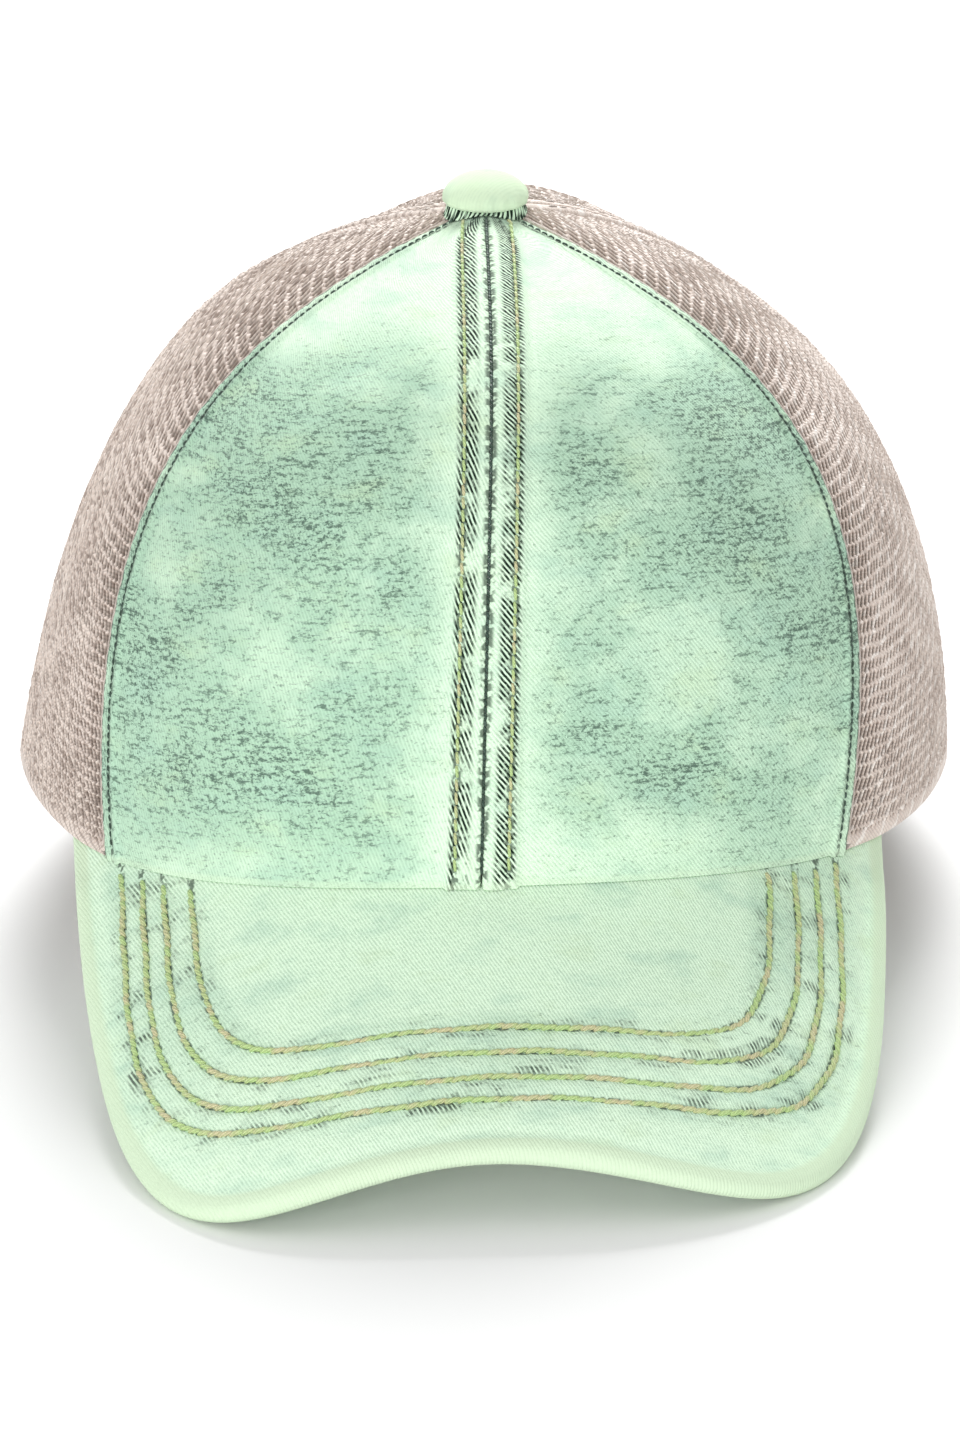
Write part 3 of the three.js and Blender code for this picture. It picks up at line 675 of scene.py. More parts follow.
def washed_denim(name, colours, kind="panel", slant=48):
    """Cotton twill, overdyed mint and washed with pumice. The eye sees a pale green ground in soft clouds,
    short dark weft threads where the dye has stayed, fine diagonal twill, and hard dark twill in the puckers
    beside the stitching, where the wash never reached. The kind is panel, brim, button or gathers, and the
    slant is the twill's, in degrees."""
    material, tree = new_material(name)
    place, across, up = cloth_place(tree)
    _, off_row, along_row = cloth_place(tree, "seam")

    def times(first, second):
        return arithmetic(tree, "MULTIPLY", first, second)

    def most(first, second):
        return arithmetic(tree, "MAXIMUM", first, second)

    def speckle(width, height, detail, roughness=0.5, distortion=0.0):
        """Noise whose spots have a width and a height in millimetres."""
        return noise(tree, place, (1 / width, 1 / height, 1), detail, roughness, distortion)

    clouds = speckle(34, 27, 4.0, 0.62, 0.3)
    tint = speckle(16, 10, 4.0, 0.6)
    # where the wash left dye: away from the seams on the panels, between the rows on the brim
    kept = 0.0
    if kind == "panel":
        kept = window(tree, arithmetic(tree, "ABSOLUTE", across), 3, 17, 0.3, 1)
        kept = times(kept, window(tree, up, 122, 86, 0.25, 1))
        kept = times(kept, window(tree, up, 3, 20, 0.6, 1))
    if kind == "brim":
        kept = window(tree, off_row, 7.0, 2.2, 0.02, 0.42)
    stayed = times(kept, window(tree, clouds, 0.34, 0.62, 0.45, 0.95))
    ground = blend_colours(tree, window(tree, stayed, 0.1, 0.8), colours["denim_light"], colours["denim_mid"])
    ground = blend_colours(tree, window(tree, tint, 0.48, 0.72, 0, 0.45), ground, colours["denim_cool"])
    ground = blend_colours(tree, window(tree, tint, 0.46, 0.3, 0, 0.3), ground, colours["denim_warm"])
    shake = speckle(2.4, 2.4, 2.0)
    twill = stripes(tree, place, TWILL_PITCH, slant, shake, 0.5)
    broken = window(tree, speckle(1.4, 0.7, 2.0), 0.3, 0.7, 0.2, 1.0)
    fine = times(times(window(tree, twill, 0.25, 0.9), broken), 0.1 if kind == "button" else 0.40)
    colour = blend_colours(tree, fine, ground, colours["denim_shade"])
    # short dark weft threads, 0.5 to 2 mm long, in rows about 0.65 mm apart
    dashes = speckle(1.9, 0.8, 4.0, 0.75)
    dots = speckle(1.0, 0.85, 3.0, 0.7)
    rows = speckle(14, 1.0, 1.0)
    streaks = speckle(5, 2.6, 2.0, 0.6)
    weft = most(dashes, arithmetic(tree, "SUBTRACT", dots, 0.01))
    for part, share in ((rows, 0.14), (streaks, 0.16), (stayed, 0.14)):
        weft = arithmetic(tree, "MULTIPLY_ADD", part, share, weft)
    dye = times(window(tree, weft, 0.772, 0.90), arithmetic(tree, "MULTIPLY_ADD", stayed, 0.66, 0.24))
    colour = blend_colours(tree, dye, colour, colours["denim_dark"])
    # dark twill that the wash missed, beside the stitched rows, in patches 5 to 12 mm long, and painted shade
    # as dark twill all over the gathers under the button's edge
    lengths = add_node(tree, "ShaderNodeCombineXYZ", {0: along_row, 1: off_row}).outputs[0]
    beside = times(window(tree, off_row, -1.7, -0.7), window(tree, off_row, 3.2, 2.0))
    if kind == "brim":
        patches = window(tree, speckle(15, 8, 4.0, 0.65), 0.50, 0.66, 0.0, 0.85)
    else:
        patches = window(tree, noise(tree, lengths, (1 / 9.0, 1 / 9.0, 1), 4.0, 0.65), 0.38, 0.50)
    if kind == "panel":
        # painted shade: dark twill near the top of the panel, round the button's edge
        patches = most(patches, window(tree, up, 106, 111))
        # the hem beside the net is paler
        hem = arithmetic(tree, "MODULO", along_row, RIGHT_START)
        patches = times(patches, window(tree, hem, HEM_START - 50, HEM_START - 49, 1.0, 0.3))
    # the gathers under the button's edge are painted dark all over, as painted shade
    if kind == "gathers":
        beside = patches = 1.0
    pitch = BRIM_UNWORN_PITCH if kind == "brim" else UNWORN_PITCH
    hard = window(tree, stripes(tree, place, pitch, slant, shake, 0.3), 0.28, 0.52)
    thin = window(tree, speckle(1.2, 1.2, 1.0), 0.3, 0.5, 0.55, 1.0)
    unworn = times(times(times(beside, patches), hard), thin)
    # the rows themselves, by the centre seam and by the net, and painted shade in the groove at the folded
    # edges of the centre seam
    lines = window(tree, arithmetic(tree, "ABSOLUTE", off_row), 0.95, 0.5)
    if kind == "panel":
        groove_distance = arithmetic(tree, "ABSOLUTE", arithmetic(tree, "SUBTRACT", off_row, CENTRE_ROW))
        lines = most(lines, window(tree, groove_distance, 1.3, 0.5))
    marks = noise(tree, place if kind == "brim" else lengths, (1 / 1.1, 1 / 1.6, 1), 1.0)
    unworn = most(unworn, times(times(lines, window(tree, marks, 0.44, 0.56)), 0.75))
    colour = blend_colours(tree, unworn, colour, colours["denim_unworn"])
    # the turned edges are smooth and pale
    if kind == "brim":
        colour = blend_colours(tree, window(tree, along_row, 4.8, 3.2, 0, 0.9), colour, colours["denim_edge"])
    if kind == "panel":
        colour = blend_colours(tree, window(tree, up, 1.6, 0.6, 0, 0.35), colour, colours["denim_edge"])
    threads = arithmetic(tree, "MULTIPLY_ADD", twill, 0.6, times(dashes, 0.8))
    relief = 0.03 if kind == "button" else 0.13
    surface = {"Roughness": 0.92, "Sheen Weight": 0.08, "Specular IOR Level": 0.2}
    finish_material(tree, colour, threads, relief, **surface)
    return material


def knitted_net(name, colours, lit_share):
    """Polyester warp knit net. The eye sees a beige yarn with fine slanting loops, a thin shade between its
    courses and, where the light runs along them, pale streaks."""
    material, tree = new_material(name)
    place, _, _ = cloth_place(tree)
    _, in_hole, _ = cloth_place(tree, "seam")
    shake = noise(tree, place, (1 / 3.0, 1 / 3.0, 1), 2.0)
    loops = stripes(tree, place, 0.7, 40, shake, 0.9)
    tone = noise(tree, place, (1 / 9, 1 / 14, 1), 3.0, 0.6)
    sway = noise(tree, place, (1 / 7, 1 / 9, 1), 2.0)
    courses = window(tree, stripes(tree, place, RIB_PITCH, -38, sway, 5.0), 0.6, 0.93)
    pale = window(tree, stripes(tree, place, 4.3, -38, sway, 7.0), 0.88, 0.99)
    colour = blend_colours(tree, window(tree, tone, 0.35, 0.66), colours["net_shade"], colours["net"])
    # painted highlight on the proud loops, painted shade between the courses and in the holes, and on the lit
    # copy pale painted highlight streaks along the courses
    for marks, strength, key in (
        (loops, 0.3, "net_light"),
        (courses, 0.75 * (1 - lit_share), "net_dark"),
        (pale, 0.9 * lit_share, "net_light"),
        (window(tree, in_hole, 0.3, 1.0), 0.6, "net_hole"),
    ):
        colour = blend_colours(tree, arithmetic(tree, "MULTIPLY", marks, strength), colour, colours[key])
    surface = {"Roughness": 0.62, "Sheen Weight": 0.1, "Specular IOR Level": 0.35}
    finish_material(tree, colour, loops, 0.1, **surface)
    return material


def sewing_thread(name, first, second, third, length):
    """Polyester core thread, space dyed. The eye sees a twisted cord whose colour drifts along its length."""
    material, tree = new_material(name)
    place, _, _ = cloth_place(tree)
    drift = noise(tree, place, (0.02, 1 / length, 1), 3.0, 0.6)
    colour = blend_colours(tree, window(tree, drift, 0.42, 0.62), first, second)
    twist = stripes(tree, place, 0.55, 50, drift, 0.2)
    # painted shade between the twisted strands
    colour = blend_colours(tree, window(tree, twist, 0.5, 0.1, 0, 0.4), colour, third)
    finish_material(tree, colour, twist, 0.12, Roughness=0.6, **{"Sheen Weight": 0.1})
    return material


def woven_tape(name, light, shade, pitch, bump_mm=0.14):
    """Plain woven cotton or polyester tape. The eye sees a matt beige weave with fine ribs across it."""
    material, tree = new_material(name)
    place, _, _ = cloth_place(tree)
    shake = noise(tree, place, (1 / 4.0, 1 / 4.0, 1), 2.0)
    ribs, picks = (stripes(tree, place, pitch, angle, shake, 0.25) for angle in (90, 0))
    weave = arithmetic(tree, "MAXIMUM", ribs, picks)
    tone = noise(tree, place, (1 / 12, 1 / 12, 1), 3.0, 0.6)
    colour = blend_colours(tree, window(tree, tone, 0.35, 0.65), shade, light)
    # painted shade between the ribs of the weave
    colour = blend_colours(tree, window(tree, weave, 0.7, 0.2, 0, 0.35), colour, shade)
    finish_material(tree, colour, weave, bump_mm, Roughness=0.85, **{"Sheen Weight": 0.15})
    return material


# Sizes and colours that a user would change


def length_property(name, description, millimetres):
    return bpy.props.FloatProperty(
        name=name, description=description, default=millimetres / 1000, min=0, unit="LENGTH", precision=5
    )


def colour_property(name, description, hex_colour):
    return bpy.props.FloatVectorProperty(
        name=name, description=description, default=linear(hex_colour), subtype="COLOR", size=3, min=0, max=1
    )


class CapSizes(bpy.types.PropertyGroup):
    stitch_pitch: length_property("Stitch length", "From one stitch of the crown to the next", 2.4)
    thread_radius: length_property("Thread radius", "Half the thickness of the crown's topstitching", 0.29)
    brim_pitch: length_property("Brim stitch length", "From one stitch of the brim to the next", 2.3)
    cord_radius: length_property("Brim thread radius", "Half the thickness of the brim's topstitching", 0.46)
    pucker: length_property("Pucker", "How far the cloth sinks at a stitched row", 0.22)
    net_across: length_property("Net columns", "From one column of the net's holes to the next", 1.5)
    net_along: length_property("Net rows", "From one hole to the next along a column", 2.42)
    strand_rise: length_property("Strand rise", "How far the net's strands are rounded", 0.14)


class CapColours(bpy.types.PropertyGroup):
    denim_light: colour_property("Denim light", "Where the wash took the most dye", "#E2FBDF")
    denim_mid: colour_property("Denim middle", "The common ground of the washed denim", "#B3D5BB")
    denim_cool: colour_property("Denim cool", "Bluer clouds in the washed denim", "#ACD1BE")
    denim_warm: colour_property("Denim warm", "Yellower clouds in the washed denim", "#CAE1B5")
    denim_shade: colour_property("Twill shade", "Between the fine twill lines", "#83A68D")
    denim_edge: colour_property("Denim edge", "The smooth turned edges", "#D3E7C8")
    denim_dark: colour_property("Weft", "Dark weft threads that kept their dye", "#42584E")
    # this colour also paints shade: in the groove at the centre seam, round the button's edge and all over
    # the gathers under the button
    denim_unworn: colour_property("Unworn twill", "Twill by the stitching that the wash missed", "#16281D")
    net: colour_property("Net", "The net's yarn", "#DECFC4")
    # also the painted highlight on the net's proud loops and its pale streaks, and the beige thread's own
    # colour
    net_light: colour_property("Net light", "The net's loops that stand proud", "#F4ECE5")
    net_shade: colour_property("Net shade", "The net's yarn in darker zones", "#CDBCB1")
    net_dark: colour_property("Net between courses", "The shade between two courses of the net", "#88766C")
    net_hole: colour_property("Net holes", "The shade inside the net's holes", "#5E4F44")
    thread_green: colour_property("Thread green", "The green stretch of the topstitching", "#BDD792")
    thread_gold: colour_property("Thread gold", "The gold stretch of the topstitching", "#D3CAA1")
    thread_shade: colour_property("Thread shade", "Between the twisted strands of thread", "#839A5B")
    seam_thread: colour_property("Seam thread", "The dark thread in the seams", "#2C4436")
    tape: colour_property("Tape", "The tape of the opening and the strap", "#B7A79C")
    tape_shade: colour_property("Tape shade", "Between the ribs of the tape", "#95847A")
    band: colour_property("Sweatband", "The cotton inside the rim", "#C0B3AA")
    floor: colour_property("Floor", "The studio floor", "#F6F6F6")


def millimetres(context, key):
    return getattr(context.scene.cap_sizes, key) * 1000


def colour_of(context, key):
    return (*getattr(context.scene.cap_colours, key), 1.0)


def colours_of(context, *keys):
    return [colour_of(context, key) for key in keys]


def denim_finish(context, name, kind="panel", slant=48):
    """One washed denim for each group of pieces, so that each can be changed alone."""
    shades = ("light", "mid", "cool", "warm", "shade", "edge", "dark", "unworn")
    colours = {f"denim_{shade}": colour_of(context, f"denim_{shade}") for shade in shades}
    if kind == "button":
        colours["denim_light"] = colours["denim_edge"]
    return washed_denim(name, colours, kind, slant)


# the last argument sets how much painted highlight, against painted shade, this copy of the net gets
def net_finish(context, hand, lit_share):
    keys = ("net", "net_light", "net_shade", "net_dark", "net_hole")
    colours = dict(zip(keys, colours_of(context, *keys)))
    return knitted_net(f"polyester_warp_knit_net_{hand}", colours, lit_share)


def shared_finish(name, make, *how):
    """A material that several pieces share. The first of them makes it."""
    return bpy.data.materials.get(name) or make(name, *how)


def topstitch_finish(context):
    colours = colours_of(context, "thread_green", "thread_gold", "thread_shade")
    return shared_finish("space_dyed_topstitch_thread", sewing_thread, *colours, 9.0)


def seam_thread_finish(context):
    colours = colours_of(context, "seam_thread", "denim_dark", "seam_thread")
    return shared_finish("dark_green_seam_thread", sewing_thread, *colours, 6.0)


def plain_thread_finish(context):
    colours = colours_of(context, "net_light", "tape", "tape_shade")
    return shared_finish("beige_polyester_thread", sewing_thread, *colours, 14.0)


def tape_finish(context):
    colours = colours_of(context, "tape", "tape_shade")
    return shared_finish("woven_herringbone_tape", woven_tape, *colours, 0.9)


def band_finish(context):
    return shared_finish("cotton_twill_band", woven_tape, *colours_of(context, "band", "tape"), 0.7, 0.1)


# The crown's panels


def centre_seam(share):
    return mix(SEAMS["centre_foot"], 0, share)


def side_seam(share):
    return mix(SEAMS["side_foot"], SEAMS["side_top"], share)


def rear_seam(share):
    return mix(SEAMS["rear_foot"], SEAMS["rear_top"], share)


def degrees_at(edge, side, climb):
    """Degrees of azimuth for a millimetre along the surface, at an edge."""
    return 1 / mm_per_degree(side * edge, np.minimum(climb, 0.97))


def rounded(distance, radius):
    """How far a cloth's face drops at a rounded edge, at a distance from it."""
    inside = np.clip(distance, 0, radius)
    return radius - np.sqrt(np.maximum(radius**2 - (radius - inside) ** 2, 0))


# Distances of the mesh's columns from the centre seam and from the hem, close together where the cloth folds
NEAR_STEPS = np.array(
    [0, 0.08, 0.22, 0.45, 0.8, 1.3, 1.9, 2.5, 3.1, 3.7, 4.1, 4.4, 4.6, 4.9, 5.3, 5.8, 6.1, 6.4, 6.8, 7.6]
)
FAR_STEPS = np.array([0, 0.08, 0.22, 0.45, 0.8, 1.2, 1.7, 2.2, 2.5, 2.7, 2.9, 3.2, 3.6, 3.9, 4.2, 4.7, 5.6])
# How far the stitched rows are from the centre seam and from the hem
CENTRE_ROW = 4.6
HEM_ROW = 2.6
# The half thickness of a wall that is rounded off at its edges, as a share of its thickness
EDGE_ROUND = 0.48


def denim_grid(side, rows, middle):
    """The azimuths and climbs of a front panel, and each point's distance from its two seams."""
    share = np.linspace(0, 1, rows)
    top = top_climb(side * side_seam(share))
    climb = share * top
    low = side * centre_seam(share) + CLOTH["gap"] / 2 * degrees_at(0.0, side, share)
    high = side_seam(share) - CLOTH["gap"] / 2 * degrees_at(side_seam(share), side, share)
    span = high - low
    near_scale = np.minimum(degrees_at(low, side, climb), 0.4 * span / NEAR_STEPS[-1])
    far_scale = np.minimum(degrees_at(high, side, climb), 0.4 * span / FAR_STEPS[-1])
    near = low[:, None] + NEAR_STEPS * near_scale[:, None]
    far = high[:, None] - FAR_STEPS * far_scale[:, None]
    inner = mix(near[:, -1:], far[:, -1:], (np.arange(1, middle) / middle)[None])
    azimuth = np.concatenate([near, inner, far[:, ::-1]], 1)
    near_distance = (azimuth - low[:, None]) / near_scale[:, None]
    far_distance = (high[:, None] - azimuth) / far_scale[:, None]
    azimuth = side * azimuth
    return azimuth, share[:, None] * top_climb(azimuth), near_distance, far_distance, share[:, None]


def denim_panel(context, side):
    azimuth, climb, near, far, share = denim_grid(side, 150, 34)
    pucker = millimetres(context, "pucker")
    surface = crown_point(azimuth, climb)
    up = running_length(surface)
    across = side * near
    fade = 1 - ramp(0.86, 0.97, share)
    rise = fade * SEAMS["allowance_rise"] * (1 - ramp(SEAMS["allowance_width"], 6.9, near))
    rise = rise + fade * SEAMS["hem_rise"] * (1 - ramp(SEAMS["hem_width"], 4.8, far))
    # the stitched rows sink, and the cloth between them gathers in short ripples
    pitch = millimetres(context, "stitch_pitch")
    ripple = np.sin(2 * np.pi * up / (2.1 * pitch) + 1.7 * np.sin(up / 9 + side))
    sink = bump(near - CENTRE_ROW, 0.75) + 0.8 * bump(far - HEM_ROW, 0.6)
    gather = bump(near - 2.6, 2.0) + 0.8 * bump(far - 1.3, 1.2)
    rise = rise - fade * pucker * (sink * (1 + 0.35 * ripple) - 0.8 * gather * ripple)
    # the soft, slightly uneven stand of washed cloth, calm at the edges
    calm = ramp(4, 22, near) * ramp(4, 22, far) * ramp(0, 14, up)
    waves = 0.45 * np.sin(up / 17 + near / 23 + side) + 0.3 * np.sin(up / 9.5 - near / 13 + 2)
    rise = rise + calm * (waves + 0.12 * np.sin(up / 4.1 + near / 5.3))
    thickness = CLOTH["denim"]
    drop = rounded(near, thickness * EDGE_ROUND) + rounded(far, thickness * EDGE_ROUND)
    layers = []
    for height in (rise - drop, rise * 0.5 - thickness + drop):
        points = off_crown(azimuth, climb, height)
        layers.append(settle(points, azimuth, height, up))
    place = np.stack([across, up], -1)
    to_centre, to_hem = CENTRE_ROW - near, (HEM_ROW - far) * np.where(far < HEM_ROW, 2.2, 1)
    nearest = np.where(near < far, to_centre, to_hem)
    seam = np.stack([nearest, up + HEM_START * (near >= far) + RIGHT_START * (side > 0)], -1)
    rows, columns = azimuth.shape
    return Patch(
        np.concatenate([layers[0].reshape(-1, 3), layers[1].reshape(-1, 3)]),
        wall_faces(rows, columns, flip=side < 0),
        np.concatenate([place.reshape(-1, 2)] * 2),
        np.concatenate([seam.reshape(-1, 2)] * 2),
    )


def panel_line(side, distance, share, hem=False):
    """Azimuths and climbs of a line at a distance from a front panel's centre seam, or from its hem."""
    top = top_climb(side * side_seam(share))
    inset = distance + CLOTH["gap"] / 2
    if hem:
        azimuth = side_seam(share) - inset * degrees_at(side_seam(share), side, share * top)
    else:
        turned = inset * degrees_at(0.0, side, share * top)
        azimuth = side * centre_seam(share) + np.minimum(turned, 0.4 * side_seam(share))
    azimuth = side * azimuth
    return azimuth, share * top_climb(azimuth)


class CAP_OT_denim_panels(bpy.types.Operator):
    """Makes the two washed denim front panels with their topstitching"""

    bl_idname = "cap.denim_panels"
    bl_label = "Denim panels"

    def execute(self, context):
        pitch, radius = millimetres(context, "stitch_pitch"), millimetres(context, "thread_radius")
        share = np.linspace(0.006, 0.975, 270)
        for side, name, slant in ((-1, "left", 68), (1, "right", 50)):
            denim = denim_finish(context, f"mineral_washed_denim_{name}", slant=slant)
            panel = make_object(f"denim_front_{name}", [denim_panel(context, side)], [denim])
            present(panel, "denim", f"front_panel_{name}")
            top_row = stitches_on_crown(
                *panel_line(side, CENTRE_ROW, share),
                SEAMS["allowance_rise"] - 0.12,
                pitch=pitch,
                radius=radius,
                yaw=6,
                cover=0.98,
            )
            hem_row = stitches_on_crown(
                *panel_line(side, HEM_ROW, share, hem=True),
                SEAMS["hem_rise"] - 0.1,
                pitch=pitch * 0.62,
                radius=radius * 0.66,
                yaw=4,
                cover=0.78,
                finish=1,
            )
            threads = [topstitch_finish(context), seam_thread_finish(context)]
            present(make_object(f"front_stitches_{name}", [top_row, hem_row], threads), "denim")
        beads = stitches_on_crown(
            *panel_line(1, -CLOTH["gap"] / 2, np.linspace(0.004, 0.97, 300)),
            SEAMS["allowance_rise"] - 0.35,
            pitch=pitch * 0.5,
            radius=radius * 0.85,
            yaw=13,
            cover=1.1,
        )
        present(make_object("centre_seam_stitches", [beads], [seam_thread_finish(context)]), "denim")
        return {"FINISHED"}


# The opening at the back


def back_rise_table():
    climbs = np.linspace(0, 1, 401)
    return running_length(crown_point(180, climbs)), climbs


BACK_LENGTHS, BACK_CLIMBS = back_rise_table()


def back_rise(distance):
    """The climb at a distance up the back of the crown."""
    return np.interp(distance, BACK_LENGTHS, BACK_CLIMBS)


def azimuth_at_width(side, width, climb):
    """The azimuth where the back of the crown is a set width from the centre plane."""
    centre = crown_point(180, climb)[..., 0]
    low, high = np.full(np.shape(climb), 95.0), np.full(np.shape(climb), 180.0)
    for _ in range(36):
        middle = (low + high) / 2
        wider = np.abs(crown_point(side * middle, climb)[..., 0] - centre) > width
        low, high = np.where(wider, middle, low), np.where(wider, high, middle)
    return side * (low + high) / 2


def opening_edge(side, offset, leg, arch):
    """Points of the opening's edge moved outward by an offset: the straight leg, then the arch to its top."""
    leg, arch = np.broadcast_arrays(np.asarray(leg, float), np.asarray(arch, float))
    half, top = OPENING["half_width"] + offset, OPENING["top"] + offset
    angle = arch * np.pi / 2
    distance = np.where(arch > 0, mix(OPENING["spring"], top, np.sin(angle)), OPENING["spring"] * leg)
    climb = back_rise(distance)
    width = half * np.cos(angle)
    azimuth = azimuth_at_width(side, width, climb)
    return np.where(width < 0.05, side * 180.0, azimuth), climb


# The net

# How far the rows of holes climb for a millimetre away from the front seam
NET_SLOPE = 0.8
RIB_PITCH = 1.75
# How much cloth there is at least between a panel's outline and its nearest hole
NET_MARGIN = 0.35
BORDER_WIDTH = 2.7
# How far the stitched rows lie on either side of the rear seam
REAR_ROW = 1.5


class Ground:
    """The flat cloth of one net panel: millimetres across from its front seam, and up along it."""

    def __init__(self, side, seam, middle):
        self.side, self.seam = side, seam
        self.climbs = np.linspace(0, 1, 401)
        self.lengths = running_length(crown_point(side * middle, self.climbs))
        self.per_degree = mm_per_degree(side * middle, np.minimum(self.climbs, 0.985))

    def flat(self, azimuth, climb):
        """Where a place on the crown lies on the flat cloth. The azimuth has no sign."""
        across = (azimuth - self.seam(climb)) * np.interp(climb, self.climbs, self.per_degree)
        return np.stack([across, np.interp(climb, self.climbs, self.lengths)], -1)

    def raised(self, flat, rise):
        """Points of the crown over places on the flat cloth, at a rise, seated on the table at the foot."""
        climb = np.interp(flat[..., 1], self.lengths, self.climbs)
        turned = flat[..., 0] / np.interp(climb, self.climbs, self.per_degree)
        azimuth = self.side * (self.seam(climb) + turned)
        rise = np.broadcast_to(rise, azimuth.shape).astype(float)
        points = off_crown(azimuth, climb, rise)
        return settle(points, azimuth, rise, np.maximum(flat[..., 1], 0))


def even_outline(flat, step):
    """A closed outline with even steps, and its inward directions. The outline runs anticlockwise."""
    closed = np.concatenate([flat, flat[:1]])
    length = running_length(closed)
    stations = np.linspace(0, length[-1], int(length[-1] / step) + 1)[:-1]
    points = np.stack([np.interp(stations, length, closed[:, k]) for k in range(2)], -1)
    tangent = unit(np.roll(points, -1, 0) - np.roll(points, 1, 0))
    return points, np.stack([-tangent[:, 1], tangent[:, 0]], -1), stations


def depth_inside(points, edge, inward):
    """How far points lie inside an outline, and the nearest of its stations."""
    nearest = np.empty(len(points), int)
    for start in range(0, len(points), 2000):
        part = points[start : start + 2000]
        gaps = np.linalg.norm(part[:, None] - edge[None], axis=-1)
        nearest[start : start + 2000] = gaps.argmin(1)
    offset = points - edge[nearest]
    return (offset * inward[nearest]).sum(-1), nearest


def net_cells(context, ground, edge, inward, thickness):
    """The knitted holes of one panel: six-sided cells round a lens-shaped hole, with rounded strands."""
    across, along = millimetres(context, "net_across"), millimetres(context, "net_along")
    rounding = millimetres(context, "strand_rise")
    low, high = edge.min(0), edge.max(0)
    columns = np.arange(math.floor(low[0] / across) - 1, math.ceil(high[0] / across) + 2)
    lowest = math.floor((low[1] - NET_SLOPE * max(high[0], 0)) / along) - 1
    rows = np.arange(lowest, math.ceil((high[1] - NET_SLOPE * min(low[0], 0)) / along) + 2)

    def sloped(flat):
        return flat + np.stack([0 * flat[..., 0], NET_SLOPE * flat[..., 0]], -1)

    i, j = (grid.ravel() for grid in np.meshgrid(columns, rows))
    centres = np.stack([i * across, (j + 0.5 * (i % 2)) * along], -1)
    inside, _ = depth_inside(sloped(centres), edge, inward)
    centres = centres[inside > 0.55]
    # a cell's corners: where three cells meet
    point = (across**2 - (along / 2) ** 2) / (2 * across)
    corners = np.array(
        [
            (across - point, 0),
            (point, along / 2),
            (-point, along / 2),
            (-(across - point), 0),
            (-point, -along / 2),
            (point, -along / 2),
        ]
    )
    all_corners = (centres[:, None] + corners).reshape(-1, 2)
    keys = np.round(all_corners * 20).astype(int)
    _, first, index = np.unique(keys, axis=0, return_index=True, return_inverse=True)
    index = index.reshape(-1, 6)
    shared, centres = sloped(all_corners[first]), sloped(centres)

    def shaken(flat):
        """The knit's own unevenness: its columns sway and its rows rise and fall."""
        x, y = flat[..., 0], flat[..., 1]
        sway = 0.20 * np.sin(y / 2.3 + x / 3.9) + 0.14 * np.sin(y / 5.1 - x / 2.7 + 1)
        lift = 0.16 * np.sin(x / 1.9 + y / 6.3) + 0.12 * np.sin(x / 4.7 - y / 3.3 + 2)
        return flat + ramp(2.5, 8, x)[..., None] * np.stack([sway, lift], -1)

    shared = shaken(shared)
    centres = shaken(centres)
    depth, nearest = depth_inside(shared, edge, inward)
    outside = depth < NET_MARGIN
    shared[outside] += inward[nearest[outside]] * (NET_MARGIN - depth[outside])[:, None]
    cell_corners = shared[index]
    middle = mix(cell_corners.mean(1), centres, 0.5)[:, None]
    reach = np.array([0.50, 0.66, 0.66, 0.50, 0.66, 0.66])[None, :, None]
    # the net is stretched open where it is sewn to the denim
    size = 1.18 - 0.28 * ramp(3, 8, centres[:, 0])
    size = size + 0.10 * np.sin(centres[:, 0] / 2.9 + centres[:, 1] / 1.7) + 0.1 * np.sin(centres[:, 1] / 7.3)
    reach = reach * size[:, None, None]
    lip = middle + (cell_corners - middle) * np.minimum(reach * 1.3, 0.94)
    hole = middle + (cell_corners - middle) * reach
    crest = 0.07 * np.sin(shared[:, 0] * 2.03 + 0.6 * np.sin(shared[:, 1] / 3))
    ribs = 0.78 * (shared[:, 1] - NET_SLOPE * shared[:, 0]) / RIB_PITCH
    crest = crest + 0.17 * np.sin(2 * np.pi * ribs + 1.3 * np.sin(shared[:, 0] / 4.1))
    crest = ramp(3, 9, shared[:, 0]) * crest
    layers = [
        (shared, crest),
        (lip, -rounding * 0.8),
        (hole, -rounding - thickness * 0.42),
        (lip, -thickness + rounding * 0.8),
        (shared, -thickness - crest * 0.3),
    ]
    points = [ground.raised(flat, rise).reshape(-1, 3) for flat, rise in layers]
    places = [flat.reshape(-1, 2) for flat, _ in layers]
    depths = [np.full(len(place), depth) for place, depth in zip(places, (0, 0.45, 1, 0.45, 0))]
    depths = np.concatenate(depths)
    starts = np.cumsum([0] + [len(part) for part in points])
    ring = np.arange(len(index) * 6).reshape(-1, 6)
    loops = [index, ring + starts[1], ring + starts[2], ring + starts[3], index + starts[4]]
    faces = []
    for outer, inner in zip(loops[:-1], loops[1:]):
        quad = [outer, np.roll(outer, -1, 1), np.roll(inner, -1, 1), inner]
        faces.append(np.stack(quad, -1).reshape(-1, 4))
    # close the sides of cells that have no neighbour
    sides = np.stack([index, np.roll(index, -1, 1)], -1).reshape(-1, 2)
    ordered = np.sort(sides, 1)
    _, where, count = np.unique(ordered, axis=0, return_inverse=True, return_counts=True)
    alone = sides[count[where.ravel()] == 1]
    faces.append(np.stack([alone[:, 1], alone[:, 0], alone[:, 0] + starts[4], alone[:, 1] + starts[4]], -1))
    quads = np.concatenate(faces)
    quads = quads[:, ::-1] if ground.side < 0 else quads
    return Patch(np.concatenate(points), quads, np.concatenate(places), np.stack([depths, 0 * depths], -1))


